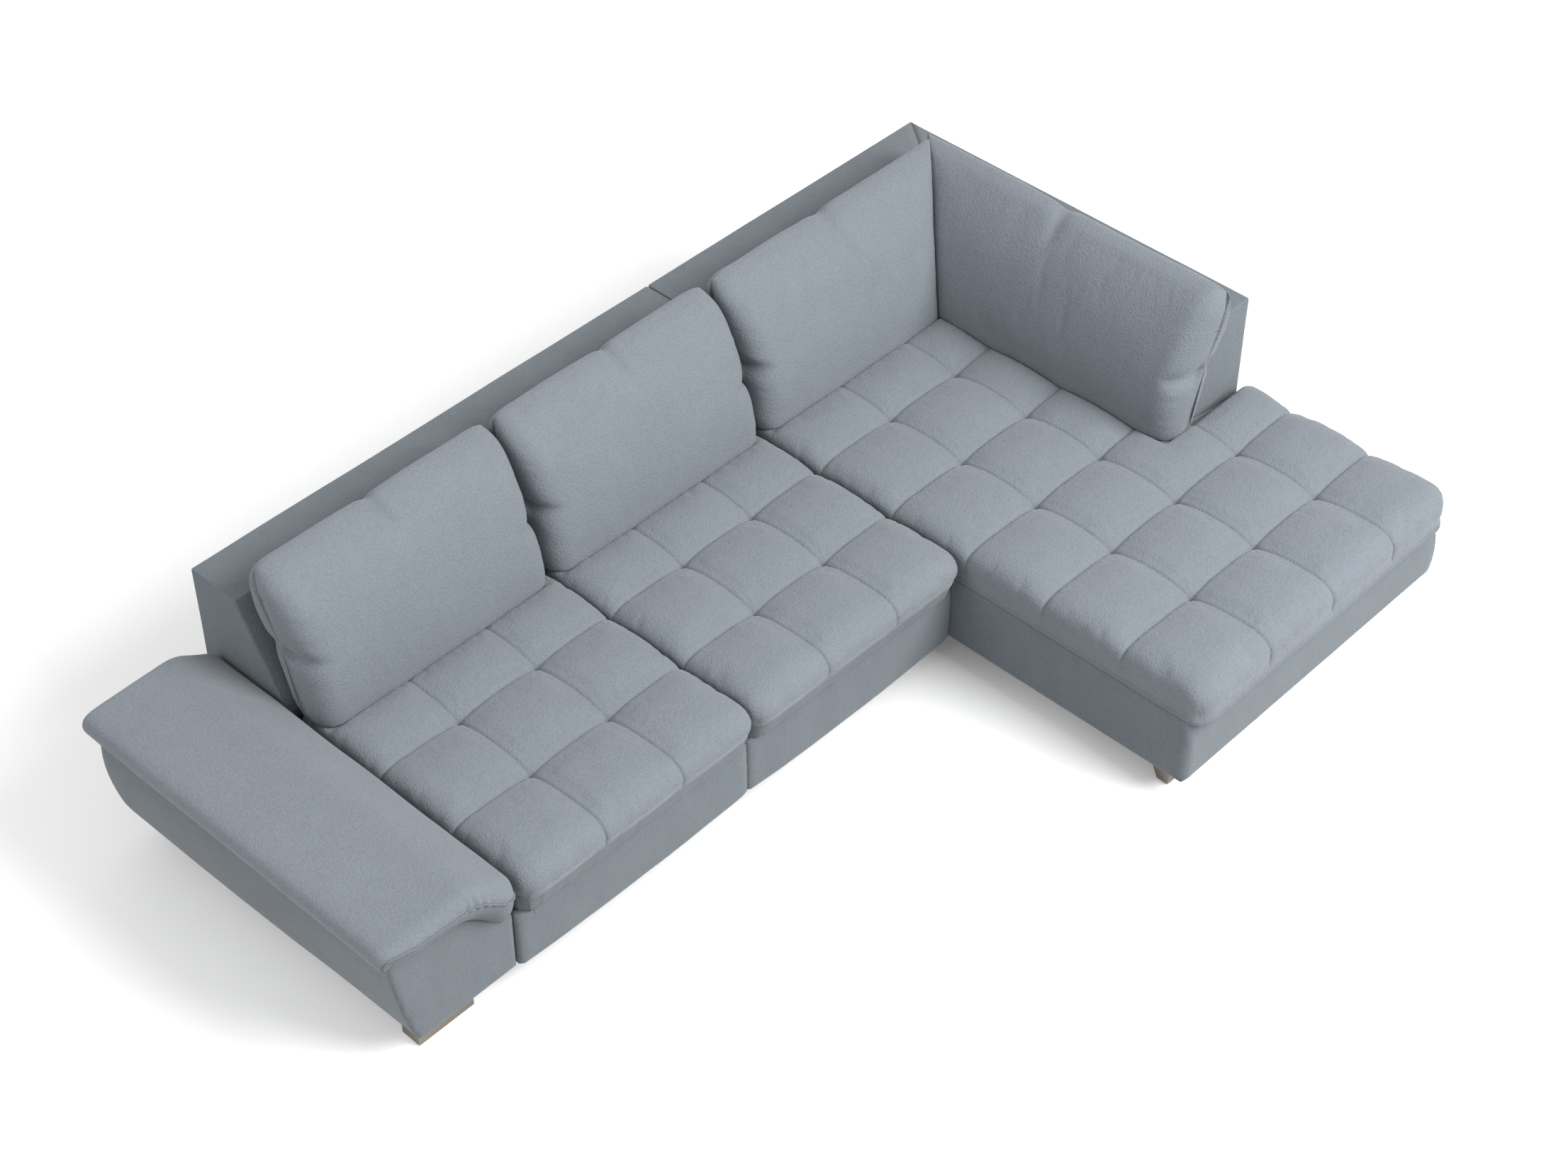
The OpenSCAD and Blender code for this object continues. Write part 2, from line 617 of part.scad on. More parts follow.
// Flap: hinged on pins just under the skin at the bend; it clears the arm by gap
pin_r = 3;
plate_t = 4;
pin_z = arm_top + flap_t - 9;
flap_low = arm_top + 2 * gap;
flap_top = arm_top + flap_t;
nose_z = flap_low + 66;
y_pad = [y_seat, y_arm_rear + 5];
plate_y = [y_arm + 260, y_arm_rear - 300];
function flap_loop() = concat(
  [[x_fold - gap, flap_low], [x_fold - gap, flap_top - 3]],
  [for (k = [1:4]) [x_fold - gap - k * (x_fold - x_arm_top - 30) / 5, flap_top - (k == 4 ? 2 : 0)]],
  curve([x_arm_top + 30, flap_top - 8], [x_arm_top - 24, flap_top - 12],
    [x_nose, flap_top - 14], [x_nose, nose_z], 5),
  curve([x_nose + 2, nose_z - 16], [x_nose + 8, nose_z - 46],
    [x_arm_top - 22, flap_low + 4], [x_arm_top, flap_low], 4),
  [for (k = [1:3]) [x_arm_top + k * (x_fold - x_arm_top) / 4, flap_low]]);
// Roll: fixed part of the pad between the fold and the seat, following the arm's S
roll_gap = 4;
function roll_loop() =
  let(x0 = x_fold + gap, x1 = x_back - roll_gap, low = arm_s(8, 0, 0))
  concat(
    [for (i = [8:-1:0]) if (low[i][0] > x0 + 2 && low[i][0] < x1 - 8) low[i]],
    curve([x1 - 4, arm_low + 22], [x1 + 4, arm_low + 50], [x1 + 4, arm_low + 110],
      [x1 - 16, arm_low + 166], 5),
    curve([x1 - 26, arm_low + 180], [x1 - 70, flap_top - 20], [x0 + 40, flap_top - 3],
      [x0 + 7, flap_top - 3], 5),
    [[x0, pin_z - 2], [x0, arm_s_at(x0)]]);
// Height of the arm's S at x, by stepping along the curve
function arm_s_at(x) = let(s = arm_s(8, 0, 0))
  [for (i = [0:7]) if (s[i][0] >= x && s[i + 1][0] < x)
    s[i][1] + (s[i + 1][1] - s[i][1]) * (s[i][0] - x) / (s[i][0] - s[i + 1][0])][0];
// Pad ends: distance from the end, and how full the section is there
pad_ends = [[0, 0.76], [6, 0.86], [18, 0.95], [40, 1]];
function grown(loop, s, mid) = [for (p = loop)
  [mid[0] + (p[0] - mid[0]) * (0.2 * s + 0.8), mid[1] + (p[1] - mid[1]) * s]];
function pad_rings(loop, mid) = concat(
  [for (e = pad_ends) [for (p = grown(loop, e[1], mid)) [p[0], y_pad[0] + e[0], p[1]]]],
  [for (k = [1:4]) [for (p = loop) [p[0], y_pad[0] + 40 + k * (y_pad[1] - y_pad[0] - 80) / 5,
    p[1]]]],
  [for (i = [3:-1:0]) [for (p = grown(loop, pad_ends[i][1], mid))
    [p[0], y_pad[1] - pad_ends[i][0], p[1]]]]);

board_top = flap_low + 12;
module board(grow = 0)
  block(x_arm_top + 14 - grow, x_fold - 22 + grow, y_arm + 12 - grow, y_arm_rear - 34 + grow,
    flap_low - 2 * grow, board_top);
module arm_flap() color(fabric_c) place() difference() {
  skin(pad_rings(flap_loop(), [x_fold, (flap_low + flap_top) / 2]));
  board(gap);
  plate_slots(arm_top, pin_z + plate_r + gap);
}
module arm_roll() color(fabric_c) place() difference() {
  skin(pad_rings(roll_loop(), [x_fold, arm_top]), true);
  plate_slots(arm_low, pin_z + plate_r + gap);
}
module arm_flap_board() color(timber_c) place() board();

// Ratchets: a fixed plate on the arm's upper rail, a moving plate on the board, one pin
plate_r = 7;
plate_gap = 0.25;
tail_l = 104;
tail_h = 18;
slot_w = 2 * plate_t + 5;
module plate_slots(z0, z1) for (y = plate_y) {
  block(x_fold - plate_r - 2, x_fold + plate_r + 2, y - slot_w / 2, y + slot_w / 2, z0, z1);
  block(x_fold - tail_l - 6, x_fold, y - slot_w / 2, y + slot_w / 2, arm_top,
    min(z1, board_top + tail_h + 4));
}
module plate(y, outline) translate([x_fold, y + plate_t, pin_z]) rotate([90, 0, 0])
  linear_extrude(plate_t) union() {
    circle(r = plate_r, $fn = 48);
    polygon(outline);
  }
module pin(r, y0, y1) translate([x_fold, y1, pin_z]) rotate([90, 0, 0])
  cylinder(r = r, h = y1 - y0, $fn = 48);
module fixed_plates() for (y = plate_y)
  plate(y - plate_t - plate_gap, [[-plate_r, 0], [-plate_r, arm_rail_z - 50 - pin_z],
    [plate_r, arm_rail_z - 50 - pin_z], [plate_r, 0]]);
module ratchet_fixed_plates() color(steel_c) place() difference() {
  fixed_plates();
  for (y = plate_y) pin(pin_r, y - 2 * plate_t, y);
}
module ratchet_moving_plates() color(steel_c) place() for (y = plate_y) difference() {
  drop = board_top - pin_z;
  plate(y + plate_gap, [[-plate_r, 0], [-plate_r, drop + tail_h], [-tail_l, drop + tail_h],
    [-tail_l, drop], [plate_r, drop], [plate_r, 0]]);
  pin(pin_r + pin_gap, y, y + 2 * plate_t);
}
module ratchet_pins() color(steel_c) place() for (y = plate_y)
  pin(pin_r, y - plate_t - 2 * plate_gap, y + plate_t + 2 * plate_gap);

// Seat base: two bays of rails under the seats
base_y = [y_panel + panel_t, y_knee];
base_x = [x_arm, x_split - 1];
module base_frame_left() color(timber_c) place() difference() {
  union() {
    difference() {
      block(base_x[0], base_x[1], base_y[0], base_y[1], frame_z, rail_top);
      block(base_x[0] + rail_t, x_mid - rail_t / 2, base_y[0] + rail_t, base_y[1] - rail_t,
        frame_z - 1, rail_top + 1);
      block(x_mid + rail_t / 2, base_x[1] - rail_t, base_y[0] + rail_t, base_y[1] - rail_t,
        frame_z - 1, rail_top + 1);
    }
    block(x_mid - 50, x_mid + 50, base_y[0] + rail_t, base_y[0] + 110, frame_z, frame_z + 30);
  }
  frame_holes();
  arm_holes();
  foot_holes();
  link_holes();
}
// Corner base: rails round the edge, one under the back and one down the middle
corner_y = [y_base + cover_t, -cover_t];
corner_x = [x_split + cover_t, -cover_t];
cross_y = y_knee - 60;
centre_x = (corner_x[0] + corner_x[1]) / 2;
module base_frame_corner() color(timber_c) place() difference() {
  union() {
    difference() {
      block(corner_x[0], corner_x[1], corner_y[0], corner_y[1], frame_z, corner_rail_top);
      block(corner_x[0] + rail_t, centre_x - rail_t / 2, corner_y[0] + rail_t, cross_y,
        frame_z - 1, corner_top);
      block(centre_x + rail_t / 2, corner_x[1] - rail_t, corner_y[0] + rail_t, cross_y,
        frame_z - 1, corner_top);
      block(corner_x[0] + rail_t, corner_x[1] - rail_t, cross_y + rail_t, corner_y[1] - rail_t,
        frame_z - 1, corner_top);
    }
    for (p = block_feet)
      block(p[0] < centre_x ? corner_x[0] + rail_t : p[0] - 50,
        p[0] < centre_x ? p[0] + 50 : corner_x[1] - rail_t,
        p[1] < cross_y ? corner_y[0] + rail_t : p[1] - 50,
        p[1] < cross_y ? p[1] + 50 : corner_y[1] - rail_t, frame_z, frame_z + 30);
    // Sleepers that carry the backs; the right one is a board over the springs' ends
    block(corner_x[0], corner_x[1], -100, corner_y[1], corner_rail_top, corner_top);
    block(corner_x[1] - 80, corner_x[1], y_right + 30, -100, corner_top - felt_t, corner_top);
    block(corner_x[1] - rail_t + hold, corner_x[1], y_right + 30, -100, corner_rail_top,
      corner_top);
  }
  back_holes();
  foot_holes();
  link_holes();
}

// Zigzag springs: flat wire bent to and fro between two rails
zig = 22;
bend = 44;
hold = 14;
inner_hold = 5;
module zigzag(length) {
  n = floor((length - 2 * hold) / bend);
  step = (length - 2 * hold) / n;
  line = concat([[0, 0]], [for (i = [0:n])
    [hold + i * step, i == 0 || i == n ? 0 : i % 2 == 0 ? zig : -zig]], [[length, 0]]);
  linear_extrude(wire) polygon(concat(
    [for (p = line) [p[0], p[1] + wire]],
    [for (i = [n + 2:-1:0]) [line[i][0], line[i][1] - wire]]));
}
spring_span = base_y[1] - base_y[0] - 2 * rail_t + 2 * hold;
seat_bays = [[base_x[0] + rail_t, x_mid - rail_t / 2], [x_mid + rail_t / 2, base_x[1] - rail_t]];
spring_at = [for (b = seat_bays, k = [1:springs]) b[0] + k * (b[1] - b[0]) / (springs + 1)];
corner_bays = [[corner_x[0] + rail_t, centre_x - rail_t / 2],
  [centre_x + rail_t / 2, corner_x[1] - rail_t]];
corner_span = [corner_y[0] + rail_t, cross_y];
corner_at = [for (k = [1:corner_springs])
  corner_span[0] + k * (corner_span[1] - corner_span[0]) / (corner_springs + 1)];
module seat_springs_left() color(steel_c) place() for (x = spring_at)
  translate([x, base_y[0] + rail_t - hold, rail_top]) rotate([0, 0, 90]) zigzag(spring_span);
module seat_springs_corner() color(steel_c) place() for (b = corner_bays, y = corner_at)
  translate([b[0] - (b[0] < centre_x - rail_t ? hold : inner_hold), y, corner_rail_top])
    zigzag(b[1] - b[0] + hold + inner_hold);
clip_w = 20;
clip_d = 12;
leg_t = 4;
// A clip spans the wire's end on two legs; along is its length over the rail
module clip(x, y, z, along, turned) translate([x, y, z]) rotate([0, 0, turned ? 90 : 0]) {
  block(-along / 2, along / 2, -clip_w / 2, clip_w / 2, wire, wire + clip_t);
  for (side = [-1, 1])
    block(-along / 2, along / 2, side * (clip_w - leg_t) / 2 - leg_t / 2,
      side * (clip_w - leg_t) / 2 + leg_t / 2, 0, wire);
}
module spring_clips() color(steel_c) place() {
  for (x = spring_at, y = [base_y[0] + rail_t - clip_d / 2, base_y[1] - rail_t + clip_d / 2])
    clip(x, y, rail_top, clip_d, true);
  for (y = corner_at, x = [corner_x[0] + rail_t - clip_d / 2, corner_x[1] - rail_t + clip_d / 2])
    clip(x, y, corner_rail_top, clip_d, false);
  for (y = corner_at) clip(centre_x, y, corner_rail_top, rail_t, false);
}
module spring_cover_left() color(felt_c) place()
  block(base_x[0], base_x[1], base_y[0], base_y[1] - gap, panel_top - felt_t, panel_top);
module spring_cover_corner() color(felt_c) place() difference() {
  block(corner_x[0], corner_x[1], corner_y[0], -102, corner_top - felt_t, corner_top);
  block(corner_x[1] - 82, corner_x[1] + 1, y_right + 28, -101, corner_top - felt_t - 1,
    corner_top + 1);
}
module dust_cover_left() color(felt_c) place() difference() {
  union() {
    block(base_x[0], base_x[1], base_y[0], y_knee, foot_h, frame_z);
    block(x_back + skin_t, x_split - module_gap - skin_t / 4, y_knee - 1, -skin_t, foot_h,
      frame_z);
  }
  foot_holes();
}
module dust_cover_corner() color(felt_c) place() difference() {
  block(corner_x[0], corner_x[1], corner_y[0], corner_y[1], foot_h, frame_z);
  foot_holes();
}

// Front panels: crowned face with rounded upright ends
panel_crown = 12;
panel_r = 16;
module front_panel(x0, x1) {
  face = [for (i = [0:10]) let(t = i / 10)
    [x0 + panel_r + t * (x1 - x0 - 2 * panel_r), y_panel + panel_crown * (1 - sin(180 * t))]];
  left = [for (a = [180:30:240]) [x0 + panel_r + panel_r * cos(a),
    y_panel + panel_crown + panel_r + panel_r * sin(a)]];
  right = [for (a = [300:30:360]) [x1 - panel_r + panel_r * cos(a),
    y_panel + panel_crown + panel_r + panel_r * sin(a)]];
  translate([0, 0, foot_h]) linear_extrude(panel_top - foot_h)
    polygon(concat([[x0, y_panel + panel_t]], left, face, right, [[x1, y_panel + panel_t]]));
}
module front_panel_1() color(fabric_c) place() front_panel(x_seats + seat_gap, x_mid - seat_gap);
module front_panel_2() color(fabric_c) place()
  front_panel(x_mid + seat_gap, x_split - seat_gap - 2);

// Corner base cover: upright sides, the right one bowed, with rounded upright corners
base_r = 10;
bow_z = foot_h + 68;
function base_outline(t) = concat(
  [[x_split + t, corner_top + (t > 0 ? 1 : 0)], [x_split + t, foot_h - (t > 0 ? 1 : 0)]],
  curve([11 - t, foot_h - (t > 0 ? 1 : 0)], [22 - t, foot_h + 14], [bow - t, foot_h + 38],
    [bow - t, bow_z], 4),
  curve([bow - t, bow_z + 14], [bow - t, bow_z + 56], [16 - t, corner_top - 48],
    [-t, corner_top + (t > 0 ? 1 : 0)], 6));
// Plan of the base, its front corners rounded outside and square inside
module base_plan(t) {
  left = x_split + t;
  right = bow - t + 12;
  front = y_base + t;
  corners = t > 0 ? [[left, front], [right, front]] : concat(
    [for (a = [180:15:270]) [left + base_r + base_r * cos(a), front + base_r + base_r * sin(a)]],
    [for (a = [270:15:360]) [right - base_r + base_r * cos(a), front + base_r + base_r * sin(a)]]);
  translate([0, 0, foot_h - 2]) linear_extrude(corner_top)
    polygon(concat(corners, [[right, -t], [left, -t]]));
}
module corner_base_cover() color(fabric_c) place() difference() {
  intersection() {
    along_y(y_base, 0, base_outline(0));
    base_plan(0);
  }
  intersection() {
    along_y(y_base - 1, 1, base_outline(cover_t));
    base_plan(cover_t);
  }
  link_holes();
}

// Bolts: seat frame to the back's sill, arm to seat frame, and the corner's backs to its base
frame_bolt_x = [base_x[0] + 150, x_mid - 150, x_mid + 150, base_x[1] - 150];
bolt_z = frame_z + 60;
head_t = 5;
module bolt(at, turn, grip, grow = 0) translate(at) rotate(turn) {
  cylinder(r = bolt_r + grow, h = grip, $fn = shank_sides);
  if (grow == 0) translate([0, 0, -head_t]) cylinder(r = 2 * bolt_r, h = head_t, $fn = 6);
}
module frame_bolt_set(grow = 0) for (x = frame_bolt_x)
  bolt([x, y_knee - rail_t, bolt_z], [-90, 0, 0], rail_t + 58, grow);
arm_bolt_y = [base_y[0] + 130, base_y[1] - 130];
module arm_bolt_set(grow = 0) for (y = arm_bolt_y)
  bolt([arm_side_x, y, frame_z + 45], [0, 90, 0], rail_t + skin_t + rail_t, grow);
module back_bolt_set(grow = 0) {
  for (x = [x_split + 130, -right_foot_d - 130])
    bolt([x, -skin_t - rail_t / 2, corner_top + 80], [180, 0, 0], 110, grow);
  for (y = [y_right + 130, -back_foot_d - 130])
    bolt([-skin_t - rail_t / 2, y, corner_top + 80], [180, 0, 0], 110, grow);
}
module frame_holes() frame_bolt_set(bolt_gap);
module arm_holes() arm_bolt_set(bolt_gap);
module back_holes() back_bolt_set(bolt_gap);
module frame_bolts() color(steel_c) place() {
  frame_bolt_set();
  arm_bolt_set();
  back_bolt_set();
}

// Hooks on the corner module hang in catches on the seat frame
link_y = [base_y[0] + 160, base_y[1] - 160];
link_w = 50;
link_t = 3;
link_z = [frame_z + 40, frame_z + 90];
module link_holes() for (y = link_y)
  block(base_x[1] - rail_t - 1, corner_x[0] + 6, y - link_w / 2 - 1, y + link_w / 2 + 1,
    link_z[0] + 8, link_z[1] - 8);
module module_hooks() color(steel_c) place() for (y = link_y) {
  block(base_x[1] - rail_t - 4, corner_x[0] + 6, y - link_w / 2, y + link_w / 2,
    link_z[0] + 20, link_z[0] + 20 + link_t);
  block(corner_x[0] + 6 - link_t, corner_x[0] + 6, y - link_w / 2, y + link_w / 2,
    link_z[0] + 9, link_z[1] - 9);
  block(base_x[1] - rail_t - 4 - link_t, base_x[1] - rail_t - 4, y - link_w / 2,
    y + link_w / 2, link_z[0] + 8, link_z[0] + 20 + link_t);
}
module module_catches() color(steel_c) place() for (y = link_y)
  block(base_x[1] - rail_t - link_t, base_x[1] - rail_t, y - link_w / 2 - 12,
    y + link_w / 2 + 12, link_z[0] - 12, link_z[0] + 20);

// Feet
foot_edge = 24;
arm_foot_x = [for (k = [0:1]) x_arm_foot + foot_edge + k * rear_foot_in];
foot_in = 40;
arm_foot_y = [y_arm + foot_in + arm_foot_d / 2, y_arm_rear - foot_in - arm_foot_d / 2];
block_in = [22, 52];
block_feet = [
  [x_split + block_in[0] + block_w / 2, y_base + block_in[1] + block_w / 2],
  [-block_in[0] - block_w / 2, y_base + block_in[1] + block_w / 2],
  [x_split + block_in[0] + block_w / 2, -block_in[1] - block_w / 2],
  [-block_in[0] - block_w / 2, -block_in[1] - block_w / 2]];
support_feet = [[x_mid, base_y[0] + rail_t + 40], [x_mid, y_knee + 30]];
stud_in = 18;
stud_out = 38;
stud_edge = 45;
arm_studs = [for (k = [0:1], x = [stud_edge, arm_foot_w - stud_edge]) [arm_foot_x[k] + x,
  arm_foot_y[k]]];
studs = concat(arm_studs, block_feet, support_feet);
module foot_holes() for (p = studs)
  translate([p[0], p[1], foot_h - stud_in - 1])
    cylinder(r = bolt_r + bolt_gap, h = stud_in + stud_out + 2, $fn = shank_sides);
module foot_bolts() color(steel_c) place() for (p = studs)
  translate([p[0], p[1], foot_h - stud_in])
    cylinder(r = bolt_r, h = stud_in + stud_out, $fn = shank_sides);

module arm_foot(k) color(foot_c) place() difference() {
  block(arm_foot_x[k], arm_foot_x[k] + arm_foot_w, arm_foot_y[k] - arm_foot_d / 2,
    arm_foot_y[k] + arm_foot_d / 2, glide_t, foot_h);
  foot_holes();
}
module arm_foot_front() arm_foot(0);
module arm_foot_rear() arm_foot(1);

// A tapered block, narrower at its tip
module tapered_foot(p) color(foot_c) place() difference() {
  taper = [[-block_tip / 2, glide_t], [block_tip / 2, glide_t], [block_w / 2, foot_h],
    [-block_w / 2, foot_h]];
  translate([p[0], p[1], 0]) intersection() {
    along_y(-block_w / 2, block_w / 2, taper);
    along_x(-block_w / 2, block_w / 2, taper);
  }
  foot_holes();
}
module corner_foot_front_left() tapered_foot(block_feet[0]);
module corner_foot_front_right() tapered_foot(block_feet[1]);
module corner_foot_rear_left() tapered_foot(block_feet[2]);
module corner_foot_rear_right() tapered_foot(block_feet[3]);

module support_foot(p) color(felt_c) place() difference() {
  translate([p[0], p[1], glide_t]) cylinder(r = support_r, h = foot_h - glide_t, $fn = 48);
  foot_holes();
}
module support_foot_front() support_foot(support_feet[0]);
module support_foot_rear() support_foot(support_feet[1]);
glide_in = 4;
module foot_glides() color(felt_c) place() {
  for (k = [0:1])
    block(arm_foot_x[k] + glide_in, arm_foot_x[k] + arm_foot_w - glide_in,
      arm_foot_y[k] - arm_foot_d / 2 + glide_in, arm_foot_y[k] + arm_foot_d / 2 - glide_in,
      0, glide_t);
  for (p = block_feet) translate([p[0], p[1], 0])
    cylinder(r = block_tip / 2 - glide_in / 2, h = glide_t, $fn = shank_sides);
  for (p = support_feet) translate([p[0], p[1], 0])
    cylinder(r = support_r - glide_in, h = glide_t, $fn = shank_sides);
}

base_frame_left();
base_frame_corner();
seat_springs_left();
seat_springs_corner();
spring_clips();
spring_cover_left();
spring_cover_corner();
dust_cover_left();
dust_cover_corner();
front_panel_1();
front_panel_2();
corner_base_cover();
seat_cushion_1();
seat_cushion_2();
corner_mattress();
seat_core_1();
seat_core_2();
corner_core();
back_frame_left();
back_frame_corner();
back_frame_right();
back_cover_left();
back_cover_corner();
back_cover_right();
back_cushion_1();
back_cushion_2();
back_cushion_3();
back_cushion_right();
back_core_1();
back_core_2();
back_core_3();
back_core_right();
arm_frame();
arm_cover();
arm_roll();
arm_flap();
arm_flap_board();
ratchet_fixed_plates();
ratchet_moving_plates();
ratchet_pins();
module_hooks();
module_catches();
frame_bolts();
arm_foot_front();
arm_foot_rear();
corner_foot_front_left();
corner_foot_front_right();
corner_foot_rear_left();
corner_foot_rear_right();
support_foot_front();
support_foot_rear();
foot_bolts();
foot_glides();
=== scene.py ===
import bpy
import bmesh
import json
import math
import numpy as np
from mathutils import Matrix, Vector
from mathutils.kdtree import KDTree


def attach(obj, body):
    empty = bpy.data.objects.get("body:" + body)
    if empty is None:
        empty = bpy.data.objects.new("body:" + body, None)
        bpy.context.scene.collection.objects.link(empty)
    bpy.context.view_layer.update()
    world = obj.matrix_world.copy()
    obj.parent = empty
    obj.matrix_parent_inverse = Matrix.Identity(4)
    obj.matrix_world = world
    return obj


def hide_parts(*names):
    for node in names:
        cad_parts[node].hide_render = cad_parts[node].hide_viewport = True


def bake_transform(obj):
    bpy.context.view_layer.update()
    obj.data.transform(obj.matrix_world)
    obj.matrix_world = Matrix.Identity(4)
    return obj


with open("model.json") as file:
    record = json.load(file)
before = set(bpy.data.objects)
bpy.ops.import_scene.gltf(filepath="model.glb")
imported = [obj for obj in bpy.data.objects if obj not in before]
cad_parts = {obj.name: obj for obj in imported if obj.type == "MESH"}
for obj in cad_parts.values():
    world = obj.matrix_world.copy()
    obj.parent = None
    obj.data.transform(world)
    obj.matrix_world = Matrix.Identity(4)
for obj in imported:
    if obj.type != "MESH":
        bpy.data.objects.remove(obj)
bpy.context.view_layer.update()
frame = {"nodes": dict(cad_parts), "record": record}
nodes = frame["nodes"]
scene = bpy.context.scene

# Lengths below are millimetres from the sofa's right rear corner on the floor, as in the part's source
SHIFT = np.array([1486.0, 952.5, 0.0])


def place(p):
    """From millimetres in the part's source to metres in the shared frame."""
    return (np.asarray(p, float) + SHIFT) / 1000.0


# Camera, fitted to the photo: place in mm, angle below level, angle of turn and lens
CAMERA_AT = (-5364.1, -4572.8, 5422.7)
CAMERA_DOWN = 43.1446
CAMERA_TURN = -46.5986
LENS = 67.157
cam = bpy.data.cameras.new("camera")
cam.sensor_width = 36.0
cam.lens = LENS
cam.clip_end = 100.0
cam_obj = bpy.data.objects.new("camera", cam)
scene.collection.objects.link(cam_obj)
cam_obj.location = place(CAMERA_AT)
cam_obj.rotation_euler = (math.radians(90 - CAMERA_DOWN), 0.0, math.radians(CAMERA_TURN))
scene.camera = cam_obj


# Materials
class Tree:
    """A material's node tree with one short call for each kind of node."""

    def __init__(self, name):
        self.m = bpy.data.materials.new(name)
        self.m.use_nodes = True
        self.t = self.m.node_tree
        self.n = self.t.nodes
        self.bsdf = self.n["Principled BSDF"]
        self.co = self.n.new("ShaderNodeTexCoord").outputs["Object"]

    def link(self, a, b):
        self.t.links.new(a, b)

    def noise(self, scale, detail=3.0, rough=0.55, vec=None, distortion=0.0):
        q = self.n.new("ShaderNodeTexNoise")
        q.inputs["Scale"].default_value = scale
        q.inputs["Detail"].default_value = detail
        q.inputs["Roughness"].default_value = rough
        q.inputs["Distortion"].default_value = distortion
        self.link(vec or self.co, q.inputs["Vector"])
        return q.outputs["Fac"]

    def voronoi(self, scale, vec=None):
        q = self.n.new("ShaderNodeTexVoronoi")
        q.inputs["Scale"].default_value = scale
        self.link(vec or self.co, q.inputs["Vector"])
        return q.outputs["Distance"]

    def mapping(self, scale, rot=(0, 0, 0)):
        q = self.n.new("ShaderNodeMapping")
        q.inputs["Scale"].default_value = scale
        q.inputs["Rotation"].default_value = rot
        self.link(self.co, q.inputs["Vector"])
        return q.outputs["Vector"]

    def math(self, op, a, b=0.0):
        q = self.n.new("ShaderNodeMath")
        q.operation = op
        for i, v in enumerate((a, b)):
            if isinstance(v, (int, float)):
                q.inputs[i].default_value = v
            else:
                self.link(v, q.inputs[i])
        return q.outputs[0]

    def ramp(self, fac, stops):
        q = self.n.new("ShaderNodeValToRGB")
        e = q.color_ramp.elements
        e[0].position, e[0].color = stops[0][0], (*stops[0][1], 1)
        e[1].position, e[1].color = stops[-1][0], (*stops[-1][1], 1)
        for pos, col in stops[1:-1]:
            s = e.new(pos)
            s.color = (*col, 1)
        self.link(fac, q.inputs["Fac"])
        return q.outputs["Color"]

    def mix(self, fac, a, b, mode="MIX"):
        q = self.n.new("ShaderNodeMix")
        q.data_type = "RGBA"
        q.blend_type = mode
        for i, v in ((0, fac), (6, a), (7, b)):
            if isinstance(v, (int, float)):
                q.inputs[i].default_value = v
            elif isinstance(v, tuple):
                q.inputs[i].default_value = (*v, 1)
            else:
                self.link(v, q.inputs[i])
        return q.outputs[2]

    def bump(self, height, strength, distance):
        q = self.n.new("ShaderNodeBump")
        q.inputs["Strength"].default_value = strength
        q.inputs["Distance"].default_value = distance
        self.link(height, q.inputs["Height"])
        return q.outputs["Normal"]

    def done(self, color, rough, normal=None, **sockets):
        self.link(color, self.bsdf.inputs["Base Color"])
        if isinstance(rough, (int, float)):
            self.bsdf.inputs["Roughness"].default_value = rough
        else:
            self.link(rough, self.bsdf.inputs["Roughness"])
        if normal is not None:
            self.link(normal, self.bsdf.inputs["Normal"])
        for k, v in sockets.items():
            self.bsdf.inputs[k.replace("_", " ")].default_value = v
        return self.m


def grey(*levels):
    """One grey for each level."""
    return [(level,) * 3 for level in levels]


def two(low, high, dark, light):
    """A ramp's stops from dark at low to light at high."""
    return [(low, dark), (high, light)]


def cloth_material(name, tint=1.0, nap=0.02, pebble=1.0, cool=1.0, sheen=0.22):
    """Pebbled weave: short ribs of thick yarn with a finer thread on them, with painted shade in the weave's
    low spots and a painted highlight on its raised ribs.
    """
    t = Tree(name)
    cells = t.voronoi(235.0, vec=t.mapping((1.0, 0.62, 0.9), (0.0, 0.0, 0.7)))
    ribs = t.noise(210.0, 2.0, 0.5, vec=t.mapping((0.75, 1.25, 1.0), (0.0, 0.0, -0.5)))
    threads = t.noise(900.0, 2.0, 0.6)
    height = t.math("SUBTRACT", t.math("MULTIPLY", ribs, 1.1), t.math("MULTIPLY", cells, 0.8))
    height = t.math("ADD", height, t.math("MULTIPLY", threads, 0.25))
    mottle = t.noise(5.0, 3.0, 0.55)
    smear = t.noise(22.0, 3.0, 0.6, vec=t.mapping((1.0, 1.0, 0.4)))
    dyed = (0.1475 * cool, 0.1650, 0.1850)
    base = t.ramp(mottle, [(at, tuple(level * tint * c for c in dyed))
                           for at, level in ((0.30, 0.975), (0.50, 1.0), (0.72, 1.025))])
    nap_col = t.ramp(smear, two(0.30, 0.70, (1 - nap,) * 3, (1 + nap, 1 + nap, 1 + nap * 0.9)))
    col = t.mix(1.0, base, nap_col, "MULTIPLY")
    # Colour follows the weave's height: painted shade in its low spots and a painted highlight on its ribs
    weave_shade = t.ramp(height, [(0.05, (0.91, 0.915, 0.92)), (0.32, (1.0, 1.0, 1.0)), (0.62, (1.07, 1.065, 1.06))])
    col = t.mix(pebble, col, weave_shade, "MULTIPLY")
    return t.done(col, 0.9, t.bump(height, 0.62 * pebble, 0.0020), Sheen_Weight=sheen, Sheen_Roughness=0.45,
                  Specular_IOR_Level=0.25)


